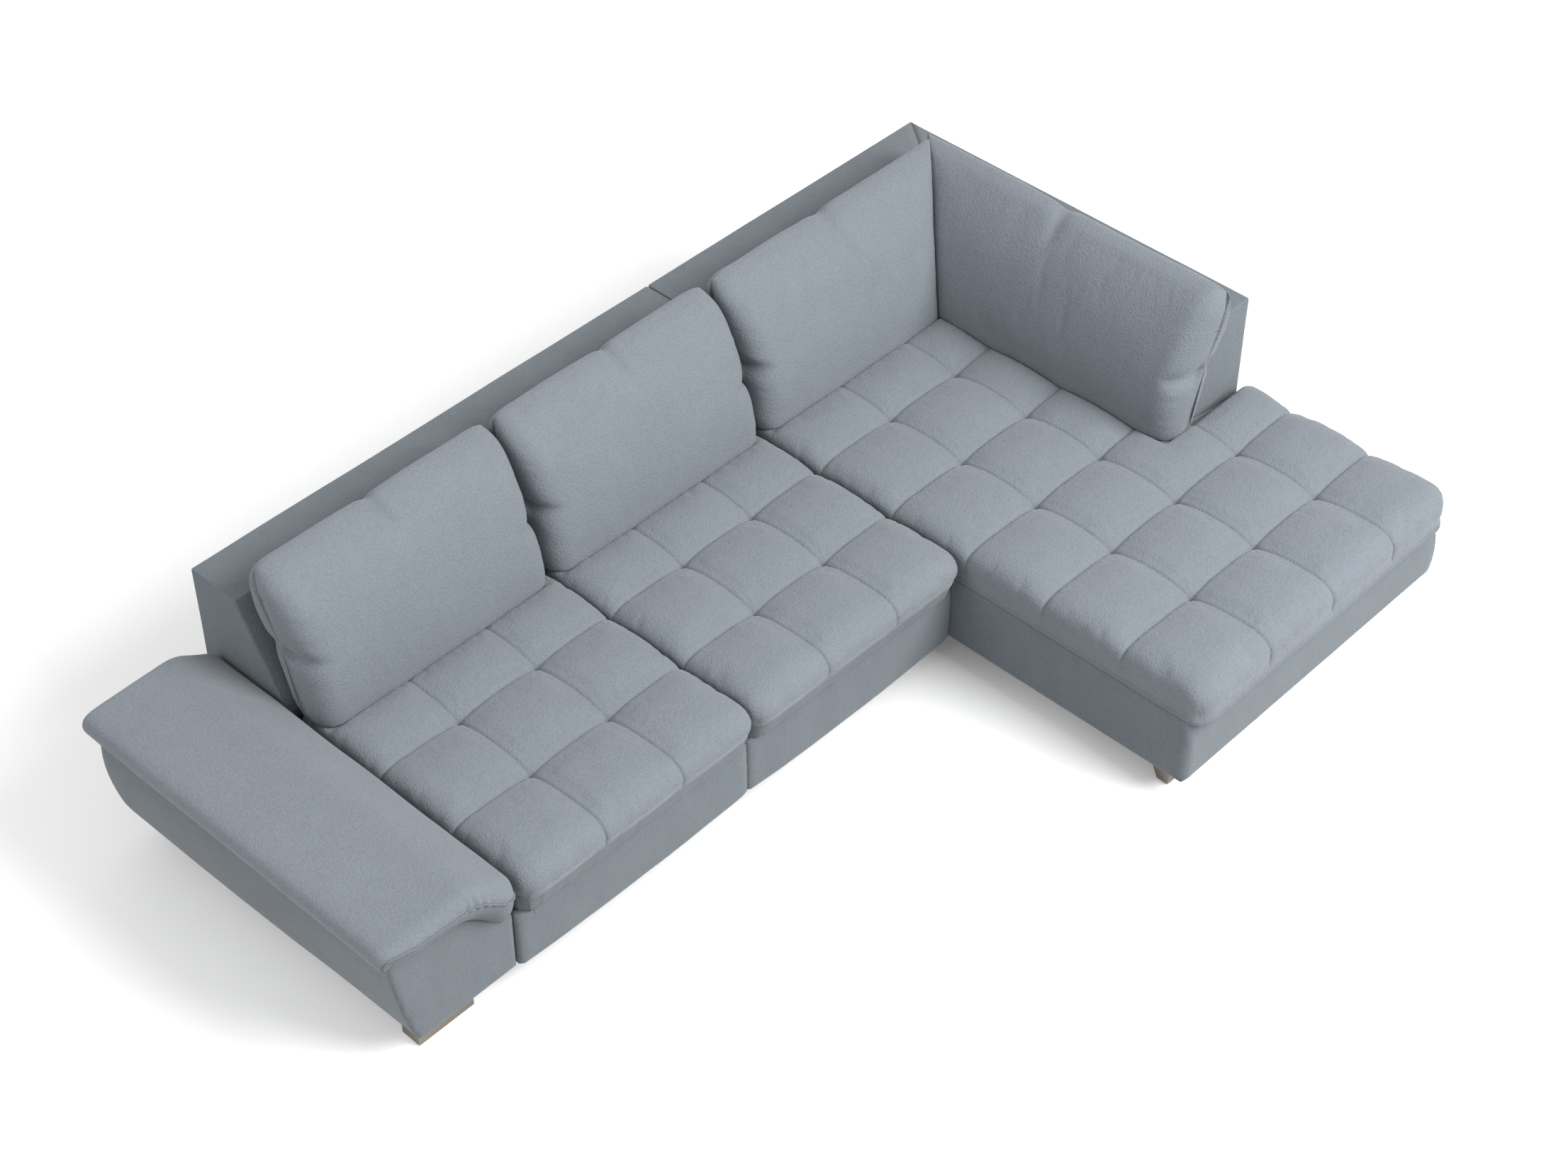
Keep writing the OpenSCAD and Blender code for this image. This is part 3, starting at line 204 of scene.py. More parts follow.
CLOTH = cloth_material("upholstery_cloth")
# Sides, fronts and backs: a darker, greener copy of the cover cloth, painted shade for the light these faces
# miss
CLOTH_SIDE_SHADED = cloth_material("upholstery_sides_painted_shade", tint=0.81, nap=0.045, pebble=0.85, cool=0.96)
# Seam strips and the arm pad's front band: the cover cloth made darker, painted shade under the overhanging
# seam
CLOTH_STRIP_SHADED = cloth_material("upholstery_strips_painted_shade", tint=0.93, pebble=0.7, sheen=0.06)
# Piping cord: the cover cloth made darker, painted shade along the seam lines
PIPING_SHADED = cloth_material("piping_cloth_painted_shade", tint=0.86, nap=0.03, pebble=0.5, sheen=0.05)


def timber_material():
    t = Tree("sawn_pine")
    grain = t.noise(9.0, 6.0, 0.65, vec=t.mapping((1.0, 9.0, 9.0)), distortion=1.2)
    c = t.ramp(grain, [(0.25, (0.42, 0.27, 0.13)), (0.5, (0.62, 0.44, 0.25)), (0.8, (0.72, 0.56, 0.36))])
    fine = t.noise(120.0, 3.0, 0.6, vec=t.mapping((1.0, 6.0, 6.0)))
    return t.done(c, t.ramp(fine, two(0.3, 0.7, *grey(0.55, 0.75))), t.bump(fine, 0.3, 0.0006))


def steel_material():
    t = Tree("zinc_steel")
    brush = t.noise(60.0, 4.0, 0.6, vec=t.mapping((1.0, 14.0, 14.0)))
    c = t.ramp(brush, two(0.3, 0.7, (0.42, 0.43, 0.45), (0.58, 0.59, 0.61)))
    rough = t.ramp(brush, two(0.3, 0.7, *grey(0.26, 0.42)))
    return t.done(c, rough, t.bump(brush, 0.15, 0.0003), Metallic=1.0)


def felt_material():
    t = Tree("black_felt")
    f = t.noise(420.0, 4.0, 0.7)
    c = t.ramp(f, two(0.3, 0.7, (0.010, 0.010, 0.011), (0.030, 0.030, 0.033)))
    return t.done(c, 0.95, t.bump(f, 0.5, 0.0008))


def foam_material():
    t = Tree("cut_foam")
    v = t.voronoi(500.0)
    c = t.ramp(t.noise(12.0, 3.0), two(0.3, 0.7, (0.72, 0.66, 0.48), (0.82, 0.77, 0.60)))
    return t.done(c, 0.9, t.bump(v, 0.5, 0.001))


def champagne_material():
    t = Tree("champagne_metal")
    brush = t.noise(45.0, 5.0, 0.6, vec=t.mapping((1.0, 1.0, 22.0)))
    c = t.ramp(brush, two(0.25, 0.75, (0.33, 0.295, 0.262), (0.40, 0.362, 0.325)))
    rough = t.ramp(brush, two(0.3, 0.7, *grey(0.30, 0.44)))
    return t.done(c, rough, t.bump(brush, 0.2, 0.0004), Metallic=1.0)


def plastic_material():
    t = Tree("black_moulded")
    g = t.noise(600.0, 3.0)
    c = t.ramp(t.noise(14.0, 3.0), two(0.3, 0.7, *grey(0.012, 0.022)))
    return t.done(c, t.ramp(g, two(0.3, 0.7, *grey(0.45, 0.6))), t.bump(g, 0.3, 0.0003))


SLOT_MATERIAL = {
    "upholstery": CLOTH,
    "timber": timber_material(),
    "steel": steel_material(),
    "lining": felt_material(),
    "foam": foam_material(),
    "metal_foot": champagne_material(),
    "plastic": plastic_material(),
}
for entry in frame["record"]["subparts"]:
    o = nodes[entry["node"]]
    o.data.materials.clear()
    o.data.materials.append(SLOT_MATERIAL[entry["material_slot"]])


# Mesh helpers
def raw_object(name, verts, faces):
    me = bpy.data.meshes.new(name)
    me.from_pydata(place(verts).tolist(), [], [list(map(int, f)) for f in faces])
    o = bpy.data.objects.new(name, me)
    scene.collection.objects.link(o)
    return o


def mesh(name, verts, faces, material, body="sofa", ride=True):
    """A smooth piece of upholstery that moves with a body."""
    o = raw_object(name, verts, faces)
    o.data.validate()
    o.data.polygons.foreach_set("use_smooth", [True] * len(o.data.polygons))
    o.data.materials.append(material)
    if ride:
        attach(o, body)
    return o


def second_material(o, material, which):
    """Gives some of the faces, by their numbers, another material."""
    o.data.materials.append(material)
    for i in which:
        o.data.polygons[i].material_index = 1


def bez(a, b, c, d, n, last=True):
    """A cubic curve from a to d in n steps, with or without its last point."""
    t = np.linspace(0, 1, n + 1)[:, None]
    a, b, c, d = map(lambda v: np.array(v, float), (a, b, c, d))
    p = a * (1 - t) ** 3 + b * 3 * t * (1 - t) ** 2 + c * 3 * t * t * (1 - t) + d * t ** 3
    return p if last else p[:-1]


def resample(points, count, closed=False):
    """The same line with count points at even spacing."""
    p = np.asarray(points, float)
    if closed:
        p = np.vstack([p, p[:1]])
    seg = np.linalg.norm(np.diff(p, axis=0), axis=1)
    s = np.concatenate([[0], np.cumsum(seg)])
    if closed:
        want = np.linspace(0, s[-1], count + 1)[:-1]
    else:
        want = np.linspace(0, s[-1], count)
    return np.column_stack([np.interp(want, s, p[:, k]) for k in range(p.shape[1])])


def smooth_curve(points, closed=False, per=12):
    """Catmull-Rom through the points."""
    p = np.asarray(points, float)
    n = len(p)
    out = []
    spans = n if closed else n - 1
    for i in range(spans):
        if closed:
            a, b, c, d = p[(i - 1) % n], p[i], p[(i + 1) % n], p[(i + 2) % n]
        else:
            b, c = p[i], p[i + 1]
            a = p[i - 1] if i else 2 * b - c
            d = p[i + 2] if i + 2 < n else 2 * c - b
        for t in np.linspace(0, 1, per, endpoint=False):
            bend = (2 * a - 5 * b + 4 * c - d) * t * t
            out.append(0.5 * (2 * b + (c - a) * t + bend + (3 * b - a - 3 * c + d) * t ** 3))
    if not closed:
        out.append(p[-1])
    return np.array(out)


def loft_faces(m, n, start=0):
    """The faces between m closed rings of n points, the first point's number being start."""
    f = []
    for j in range(m - 1):
        for i in range(n):
            a = start + j * n + i
            b = start + j * n + (i + 1) % n
            f.append((a, b, b + n, a + n))
    return f


def capped(rings, cap=4):
    """Rings to verts and faces, each end closed by shrinking rings and a fan."""
    rings = [np.asarray(r, float) for r in rings]
    n = len(rings[0])
    head, tail = rings[0], rings[-1]
    hc, tc = head.mean(0), tail.mean(0)
    steps = [k / cap for k in range(1, cap)]
    full = [hc + (head - hc) * (1 - s) for s in reversed(steps)] + rings
    full += [tc + (tail - tc) * (1 - s) for s in steps]
    verts = np.vstack(full + [hc[None], tc[None]])
    faces = loft_faces(len(full), n)
    a, b = len(verts) - 2, len(verts) - 1
    last = (len(full) - 1) * n
    for i in range(n):
        k = (i + 1) % n
        faces.append((a, k, i))
        faces.append((b, last + i, last + k))
    return verts, faces


def tube(name, path, r, material, closed=False, ride=True):
    """A round cord of radius r along a path in mm."""
    sides = 8
    p = np.asarray(path, float)
    n = len(p)
    if closed:
        tan = np.roll(p, -1, 0) - np.roll(p, 1, 0)
    else:
        tan = np.gradient(p, axis=0)
    tan /= np.maximum(np.linalg.norm(tan, axis=1), 1e-9)[:, None]
    up = np.array([0.0, 0.0, 1.0])
    if abs(tan[0] @ up) > 0.9:
        up = np.array([0.0, 1.0, 0.0])
    u = up - (up @ tan[0]) * tan[0]
    u /= np.linalg.norm(u)
    a = np.linspace(0, 2 * math.pi, sides, endpoint=False)
    rings = []
    for i in range(n):
        u = u - (u @ tan[i]) * tan[i]
        u /= np.linalg.norm(u)
        v = np.cross(tan[i], u)
        rings.append(p[i] + r * (np.cos(a)[:, None] * u + np.sin(a)[:, None] * v))
    verts = np.vstack(rings)
    faces = loft_faces(n, sides)
    if closed:
        # turn the last ring to meet the first
        gap = [np.linalg.norm(np.roll(rings[-1], -k, 0) - rings[0], axis=1).sum() for k in range(sides)]
        turn = int(np.argmin(gap))
        last = (n - 1) * sides
        for i in range(sides):
            k = (i + 1) % sides
            faces.append((last + (i + turn) % sides, last + (k + turn) % sides, k, i))
    else:
        faces.append(tuple(range(sides))[::-1])
        faces.append(tuple((n - 1) * sides + i for i in range(sides)))
    return mesh(name, verts, faces, material, ride=ride)


def noise3(p, scale, seed=0):
    """Smooth value noise, the same on every run, in -1 to 1."""
    p = np.asarray(p, float) / scale + 17.31 * (seed + 1)
    i = np.floor(p).astype(np.int64)
    f = p - i
    f = f * f * (3 - 2 * f)

    def mixed(c):
        q = (c[:, 0] * 374761393 + c[:, 1] * 668265263 + c[:, 2] * 2147483647 + seed * 974711) & 0xFFFFFFFF
        q = ((q ^ (q >> 13)) * 1274126177) & 0xFFFFFFFF
        return ((q ^ (q >> 16)) & 0xFFFF) / 32767.5 - 1

    out = 0
    for corner in np.ndindex(2, 2, 2):
        weight = np.where(corner, f, 1 - f).prod(axis=1)
        out = out + weight * mixed(i + np.array(corner))
    return out


def flat_noise(x, y, scale, seed):
    """The same noise on two coordinates."""
    return noise3(np.column_stack([x, y, y * 0]), scale, seed)


def normals_of(verts, faces):
    v = np.asarray(verts, float)
    n = np.zeros_like(v)
    for f in faces:
        q = v[list(f)]
        if len(f) == 3:
            c = np.cross(q[1] - q[0], q[2] - q[0])
        else:
            c = np.cross(q[2] - q[0], q[3] - q[1])
        n[list(f)] += c
    return n / np.maximum(np.linalg.norm(n, axis=1), 1e-9)[:, None]


def outward(verts, faces):
    """The faces of a closed form, turned outward, and the normals of its points."""
    nrm = normals_of(verts, faces)
    if ((verts - verts.mean(0)) * nrm).sum() < 0:
        return [tuple(reversed(f)) for f in faces], -nrm
    return faces, nrm


def smooth01(x):
    x = np.clip(x, 0, 1)
    return x * x * (3 - 2 * x)


SETTLE_FRAMES = 20
PRESSURE = 4.0
HOLD_STEPS = 10


def settle(verts, faces, free, voxel=0.008, cap=0.006, shrink=-0.012):
    """Fills a cover and lets the cloth take its own shape: a closed copy is remeshed, simulated with air
    pressure and no gravity, and its movement is laid back on the drawn mesh, so the sewn lines stay sharp.
    free(points mm) is 0 where the cloth is sewn or rests and 1 where it can move."""
    src = raw_object("settle_src", verts, faces)
    rm = src.modifiers.new("voxel", "REMESH")
    rm.mode = "VOXEL"
    rm.voxel_size = voxel
    deps = bpy.context.evaluated_depsgraph_get()
    shell = bpy.data.meshes.new_from_object(src.evaluated_get(deps))
    bpy.data.objects.remove(src)
    obj = bpy.data.objects.new("settle", shell)
    scene.collection.objects.link(obj)
    n = len(shell.vertices)
    rest = np.empty(n * 3)
    shell.vertices.foreach_get("co", rest)
    rest = rest.reshape(-1, 3)
    hold = 1.0 - np.clip(free(rest * 1000.0 - SHIFT), 0, 1)
    group = obj.vertex_groups.new(name="hold")
    level = np.round(hold * HOLD_STEPS).astype(int)
    for k in range(1, HOLD_STEPS + 1):
        idx = np.nonzero(level == k)[0].tolist()
        if idx:
            group.add(idx, k / HOLD_STEPS, "REPLACE")
    cl = obj.modifiers.new("cloth", "CLOTH")
    st = cl.settings
    st.quality = 5
    st.mass = 0.35
    st.tension_stiffness = 18.0
    st.compression_stiffness = 18.0
    st.shear_stiffness = 6.0
    st.bending_stiffness = 0.8
    st.shrink_min = shrink
    st.use_pressure = True
    st.uniform_pressure_force = PRESSURE
    st.vertex_group_mass = "hold"
    st.pin_stiffness = 1.0
    st.effector_weights.gravity = 0.0
    cl.point_cache.frame_start = 1
    cl.point_cache.frame_end = SETTLE_FRAMES
    for f in range(1, SETTLE_FRAMES + 1):
        scene.frame_set(f)
        now = obj.evaluated_get(bpy.context.evaluated_depsgraph_get())
    done = np.empty(n * 3)
    now.data.vertices.foreach_get("co", done)
    move = done.reshape(-1, 3) - rest
    scene.frame_set(1)
    bpy.data.objects.remove(obj)
    top = np.percentile(np.linalg.norm(move, axis=1), 97)
    if not np.isfinite(top) or top < 1e-6:
        return verts
    move *= min(1.0, cap / top)
    size = np.linalg.norm(move, axis=1)
    move *= np.minimum(1.0, 1.6 * cap / np.maximum(size, 1e-9))[:, None]
    tree = KDTree(n)
    for i, c in enumerate(rest):
        tree.insert(c, i)
    tree.balance()
    out = np.array(verts, float)
    loose = np.clip(free(out), 0, 1)
    for i, c in enumerate(place(out)):
        if loose[i] < 0.02:
            continue
        near = tree.find_n(c, 4)
        w = np.array([1.0 / (d + 1e-4) for _, _, d in near])
        out[i] += 1000.0 * loose[i] * (w[:, None] * move[[j for _, j, _ in near]]).sum(0) / w.sum()
    return out


# Quilted cushions: height of the tufts, rise of the squares, height of what is pressed flat, size of a square
TUFT_Z = 378.0
CROWN = 27.0
PRESS_Z = 386.0
SQUARE = 253.0
ROW = [-376.0 - SQUARE * k for k in range(6)]
REAR_Y = -316.5


def fullness(v, seams, power):
    """0 on a seam line and 1 midway between two."""
    v = np.asarray(v, float)
    k = np.clip(np.searchsorted(seams, v) - 1, 0, len(seams) - 2)
    s = np.asarray(seams, float)
    u = np.clip((v - s[k]) / (s[k + 1] - s[k]), 0, 1)
    return np.sin(np.pi * u) ** power


GRID = 6.6
ROLL_D = 52.0


def grid_line(f0, f1, reach, marks):
    """Places of a sheet's threads, close together beside each sewn mark, with reach to spare at both ends."""
    n_roll = max(5, int(round(reach / GRID)))
    lo = [f0 - reach + reach * k / n_roll for k in range(n_roll)]
    hi = [f1 + reach * k / n_roll for k in range(1, n_roll + 1)]
    stops = [f0] + [m for m in sorted(marks) if f0 < m < f1] + [f1]
    mid = []
    for a, b in zip(stops[:-1], stops[1:]):
        mid.append(a)
        sewn_a, sewn_b = a in marks, b in marks
        if sewn_a:
            mid += [a + 2.5, a + 6.0]
        a2 = a + (11.0 if sewn_a else 0.0)
        b2 = b - (11.0 if sewn_b else 0.0)
        n = max(2, int(round((b2 - a2) / GRID)))
        mid += [a2 + (b2 - a2) * k / n for k in range(0 if sewn_a else 1, n + (1 if sewn_b else 0))]
        if sewn_b:
            mid += [b - 6.0, b - 2.5]
    line = np.unique(np.round(lo + mid + [f1] + hi, 2))
    return line[np.concatenate([[True], np.diff(line) > 1.4])]


def quilt(name, x0, x1, y0, y1, z_seam, z_low, tuft_x, tuft_y, base_in, strip_in, roll_h=44.0, notch=None,
          seed=1, pressed=None, under=14.0, tight=(0, 0)):
    """A tufted cushion: a top sheet that rolls over all four edges down to a seam, then a strip.
    x0..y1 is the outline at its widest; z_seam is the seam's height and z_low the bottom's. base_in and
    strip_in are how far the strip's foot stands in at the sides and at the front, and under is how far the
    seam does. notch cuts the right rear corner away for a back, pressed says where a cushion lies on it, and
    tight squares the left and right edges over so many millimetres."""
    tuft_x, tuft_y = sorted(tuft_x), sorted(tuft_y)
    fat = CROWN * 0.80
    inset = fat + roll_h
    fx0, fx1, fy0, fy1 = x0 + inset, x1 - inset, y0 + inset, y1 - inset
    # roll profile: arc length e -> outward h and drop d, widest part way down, then in to the seam
    drop_seam = TUFT_Z - z_seam
    prof = smooth_curve([(0, 0), (roll_h * 0.55, ROLL_D * 0.12), (roll_h * 0.90, ROLL_D * 0.44),
                         (roll_h, drop_seam * 0.70), (roll_h + fat - under, drop_seam)], per=10)
    arc = np.concatenate([[0], np.cumsum(np.linalg.norm(np.diff(prof, axis=0), axis=1))])
    reach = arc[-1]
    beside_notch = [] if notch is None else [notch[1] - 14, notch[1] - 7, notch[1]]
    S = grid_line(fx0, fx1, reach, tuft_x)
    T = grid_line(fy0, fy1, reach, tuft_y + beside_notch)
    nx, ny = len(S) - 1, len(T) - 1
    s, t = np.meshgrid(S, T)
    s, t = s.ravel(), t.ravel()
    es = np.maximum(fx0 - s, 0) + np.maximum(s - fx1, 0)
    et = np.maximum(fy0 - t, 0) + np.maximum(t - fy1, 0)
    ds = np.where(s > fx1, 1, -1) * es
    dt = np.where(t > fy1, 1, -1) * et
    e = np.maximum(es, et)
    hyp = np.maximum(np.hypot(es, et), 1e-9)
    h = np.interp(e, arc, prof[:, 0])
    x = np.clip(s, fx0, fx1) + ds / hyp * h
    y = np.clip(t, fy0, fy1) + dt / hyp * h
    base = np.column_stack([x, y, TUFT_Z - np.interp(e, arc, prof[:, 1])])
    faces = []
    for j in range(ny):
        for i in range(nx):
            a = j * (nx + 1) + i
            faces.append((a, a + 1, a + nx + 2, a + nx + 1))
    nrm = normals_of(base, faces)
    s0, s1, t0, t1 = fx0 - reach, fx1 + reach, fy0 - reach, fy1 + reach
    a = 1 - fullness(s, [s0] + tuft_x + [s1], 0.36)
    b = 1 - fullness(t, [t0] + tuft_y + [t1], 0.50)
    rim = np.minimum.reduce([s - s0, s1 - s, t - t0, t1 - t])
    deep = 0.36 + 0.40 * smooth01(rim / 120.0)
    puff = 1 - 0.34 * a - deep * b + a * b * (0.34 + deep - 1)
    puff *= np.clip(rim / 30.0, 0, 1) ** 0.8
    # drawn-in tufts with a small dimple and short folds running from them
    tuft = np.full(len(s), 1e9)
    ang = np.zeros(len(s))
    for tx in tuft_x:
        for ty in tuft_y:
            r = np.hypot(s - tx, t - ty)
            near = r < tuft
            tuft = np.where(near, r, tuft)
            ang = np.where(near, np.arctan2(t - ty, s - tx), ang)
    puff -= 0.28 * np.exp(-(tuft / 12.0) ** 2) + 0.26 * np.exp(-(tuft / 48.0) ** 2) * np.clip(rim / 60.0, 0, 1)
    fold = np.exp(-((tuft - 26) / 22.0) ** 2) * np.sin(ang * 9 + 2.0 * noise3(base, 120, seed))
    flat = noise3(base, 130, seed) * 1.1 + noise3(base, 60, seed + 5) * 0.3
    # short puckers across the seams, drawn up by the thread
    near_x = np.min(np.abs(t[:, None] - np.array(tuft_y)[None]), axis=1)
    near_y = np.min(np.abs(s[:, None] - np.array(tuft_x)[None]), axis=1)
    pucker = np.exp(-(near_x / 16.0) ** 2) * flat_noise(s, t * 0.12, 15, seed + 9) * 0.8
    pucker += np.exp(-(near_y / 11.0) ** 2) * flat_noise(s * 0.12, t, 15, seed + 12) * 0.5
    rim_pucker = np.exp(-(rim / 16.0) ** 2) * flat_noise(s, t, 21, seed + 3) * 1.6
    groove = 3.4 * np.exp(-(near_x / 4.5) ** 2) + 2.0 * np.exp(-(near_y / 4.0) ** 2)
    groove *= np.clip(rim / 40.0, 0, 1)
    disp = CROWN * puff + fold * 0.7 + flat * np.clip(rim / 60, 0.2, 1) + pucker + rim_pucker - groove
    pos = base + nrm * disp[:, None]
    for side, at, width in ((1, x0, tight[0]), (-1, x1, tight[1])):
        if width:
            u = np.clip((pos[:, 0] - at) * side / width, 0, 1)
            pos[:, 0] = np.where(u < 1, at + side * width * (2 * u ** 2 - u ** 3), pos[:, 0])
    w = pressed(pos)
    pos[:, 2] = np.where(w > 0, pos[:, 2] * (1 - w) + np.minimum(pos[:, 2], PRESS_Z - 1.0) * w, pos[:, 2])
    if notch is not None:
        # behind the notch the sheet ends at the notch's x; rows close together make the end wall
        notch_x, notch_y, free_x = notch
        squeeze = (notch_x - free_x) / (x1 - free_x)
        beyond = (t >= notch_y - 3.5) & (pos[:, 0] > free_x)
        pos[:, 0] = np.where(beyond, free_x + (pos[:, 0] - free_x) * squeeze, pos[:, 0])
        roll = np.clip((t - (notch_y - 52)) / 50.0, 0, 1)
        over = smooth01((pos[:, 0] - (notch_x - 8)) / 16.0)
        fall = (1 - np.sqrt(np.clip(1 - roll ** 2, 0, 1))) * 46
        pos[:, 2] = np.where((t < notch_y) & (t > notch_y - 52), pos[:, 2] - fall * over, pos[:, 2])
    grid = np.arange((nx + 1) * (ny + 1)).reshape(ny + 1, nx + 1)
    edge = np.concatenate([grid[0], grid[1:, -1], grid[-1, -2::-1], grid[-2:0:-1, 0]]).tolist()
    n = len(edge)
    loop = pos[edge]
    tang = np.roll(loop, -1, 0) - np.roll(loop, 1, 0)
    out = np.column_stack([tang[:, 1], -tang[:, 0]])
    out /= np.maximum(np.linalg.norm(out, axis=1), 1e-9)[:, None]
    front = np.maximum(np.clip(-out[:, 1], 0, 1), smooth01((y0 + 72 - loop[:, 1]) / 30.0))
    rings = []
    # the strip hangs nearly straight, then turns in under itself just above the front panel
    drops = [0.10, 0.22, 0.34, 0.46, 0.56, 0.62, 0.68, 0.74, 0.84, 1.0]
    steps = len(drops)
    lip = 0.62 + 0.12 * (1 - smooth01(np.minimum(loop[:, 0] - x0, x1 - loop[:, 0]) / 50.0))
    for u in drops:
        tuck = 0.55 * np.minimum(u / lip, 1) + 0.45 * np.clip((u - lip) / 0.10, 0, 1)
        inset_k = strip_in * tuck * front + base_in * u * (1 - front) - 1.5 * math.sin(math.pi * u)
        pk = flat_noise(loop[:, 0], loop[:, 1], 26, seed + 21) * 1.2
        pk = pk * math.sin(math.pi * u) ** 2
        plan = loop[:, :2] - out * (inset_k + pk)[:, None]
        rings.append(np.column_stack([plan, loop[:, 2] + (z_low - loop[:, 2]) * u]))
    g = len(pos)
    verts = [pos] + rings
    for k in range(n):
        l = (k + 1) % n
        faces.append((edge[k], g + k, g + l, edge[l]))
    low = rings[-1]
    hub = np.array([(x0 + x1) / 2 - (0 if notch is None else 120), (y0 + y1) / 2, z_low])
    verts += [hub + (low - hub) * f for f in (0.7, 0.35)]
    # the sheet's faces run the other way round from a loft's
    faces += [(a, d, c, b) for a, b, c, d in loft_faces(len(verts) - 1, n, g)]
    last = g + (len(verts) - 2) * n
    verts.append(hub[None])
    for k in range(n):
        faces.append((last + n, last + (k + 1) % n, last + k))
    verts = np.vstack(verts)
    tx, ty = np.array(tuft_x), np.array(tuft_y)

    def free(q):
        dx = np.min(np.abs(q[:, :1] - tx[None]), axis=1)
        dy = np.min(np.abs(q[:, 1:2] - ty[None]), axis=1)
        f = smooth01((dy - 4) / 34.0) * (0.35 + 0.65 * smooth01((dx - 4) / 30.0))
        f *= smooth01((q[:, 2] - (z_seam + 6)) / 26.0)
        return f * (1 - pressed(q)) * smooth01((-318 - q[:, 1]) / 20.0)

    verts = settle(verts, faces, free, voxel=0.009 if x1 - x0 > 900 else 0.008)
    o = mesh(name, verts, faces, CLOTH)
    # the strip takes the darker cloth with painted shade
    second_material(o, CLOTH_STRIP_SHADED, range(nx * ny, len(faces)))
    return verts[edge], o


SEAT_X = [(-2585.0, -1825.0), (-1823.0, -1065.0)]


def seat_press(p):
    """Where the back cushions lie on a seat."""
    return smooth01((p[:, 1] + 458) / 22.0)


for k, (a, b) in enumerate(SEAT_X):
    name = f"seat_cushion_{k + 1}"
    seam, o = quilt(name + "_cover", a, b, -1150.0, REAR_Y, 318.0, 232.5, [a + SQUARE, b - SQUARE], ROW[:3],
                    11.0, 31.0, seed=3 + k, pressed=seat_press, under=15.0, tight=(80, 80))
    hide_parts(name)
    tube(name + "_piping", resample(seam, 420, True), 2.8, PIPING_SHADED, closed=True)


def mattress_press(p):
    """Where the back cushions lie on the chaise's mattress."""
    right = smooth01((p[:, 0] + 380) / 22.0) * smooth01((p[:, 1] + 1250) / 16.0)
    return np.maximum(seat_press(p), right)


_, o = quilt("corner_mattress_cover", -1056.0, 12.0, -1905.0, REAR_Y, 303.0, 286.5, [-777.0, -514.0, -251.0],
             ROW, -2.0, -3.0, seed=11, pressed=mattress_press, notch=(-243.0, -1212.0, -256.0), roll_h=50.0,
             under=5.0, tight=(84, 40))
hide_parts("corner_mattress")


# Covers over timber
def unit(v):
    return v / np.linalg.norm(v)


def inset_convex(pts, t):
    """Moves each edge of a clockwise or anticlockwise convex outline inward by t."""
    p = np.asarray(pts, float)
    n = len(p)
    area = 0.5 * sum(p[i][0] * p[(i + 1) % n][1] - p[(i + 1) % n][0] * p[i][1] for i in range(n))
    sgn = 1 if area > 0 else -1
    out = []
    for i in range(n):
        a, b, c = p[i - 1], p[i], p[(i + 1) % n]
        d1, d2 = unit(b - a), unit(c - b)
        n1, n2 = sgn * np.array([-d1[1], d1[0]]), sgn * np.array([-d2[1], d2[0]])
        m = np.array([[n1[0], n1[1]], [n2[0], n2[1]]])
        rhs = np.array([n1 @ b + t, n2 @ b + t])
        out.append(np.linalg.solve(m, rhs) if abs(np.linalg.det(m)) > 1e-6 else b + n1 * t)
    return np.array(out)


def rounded_outline(pts, r, arc_n=5, step=30.0):
    """Closed outline with each corner rounded and long sides split."""
    p = np.asarray(pts, float)
    n = len(p)

    def cut_back(a, b, c):
        """How far the rounding of corner b reaches along its sides."""
        half = math.acos(np.clip(unit(a - b) @ unit(c - b), -1, 1)) / 2
        return min(r / math.tan(half), 0.45 * np.linalg.norm(a - b), 0.45 * np.linalg.norm(c - b))

    out = []
    for i in range(n):
        a, b, c, d = p[i - 1], p[i], p[(i + 1) % n], p[(i + 2) % n]
        cut = cut_back(a, b, c)
        start, end = b + unit(a - b) * cut, b + unit(c - b) * cut
        out += [(1 - t) ** 2 * start + 2 * t * (1 - t) * b + t * t * end for t in np.linspace(0, 1, arc_n)]
        stop = c + unit(b - c) * cut_back(b, c, d)
        k = max(1, int(np.linalg.norm(stop - end) / step))
        out += [end + (stop - end) * q / k for q in range(1, k)]
    return np.array(out)


def prism(name, outline, lo, hi, axis, seed, mitre=None):
    """A soft-edged casing: outline in the plane across axis, from lo to hi along it. Where mitre is given, the
    far end stays sharp, and mitre moves the points to the joint."""
    r, step, wave = 6.0, 30.0, 0.7
    quarter = [(r * (1 - math.cos(q)), r * (1 - math.sin(q))) for q in np.linspace(0, math.pi / 2, 5)]
    count = max(2, int((hi - lo - 2 * r) / step))
    stations = [(lo + along, t) for along, t in quarter]
    a0, a1 = stations[-1][0], hi - (r if mitre is None else 0)
    stations += [(a0 + (a1 - a0) * k / count, 0.0) for k in range(1, count)]
    if mitre is None:
        stations += [(hi - along, t) for along, t in quarter[::-1]]
    else:
        stations += [(hi, 0.0)]
    n = len(rounded_outline(outline, r, step=step))
    rings = []
    for at, t in stations:
        ring = rounded_outline(inset_convex(outline, t) if t > 1e-6 else outline, max(r - t, 0.6), step=step)
        if len(ring) != n:
            ring = resample(ring, n, True)
        rings.append(np.insert(ring, {"x": 0, "y": 1}[axis], at, axis=1))
    verts, faces = capped(rings, cap=8)
    if mitre is not None:
        verts = mitre(verts)
    faces, nrm = outward(verts, faces)
    verts = verts + nrm * (noise3(verts, 160, seed) * wave - wave)[:, None]
    # the casing takes the side cloth with painted shade
    return mesh(name, verts, faces, CLOTH_SIDE_SHADED)


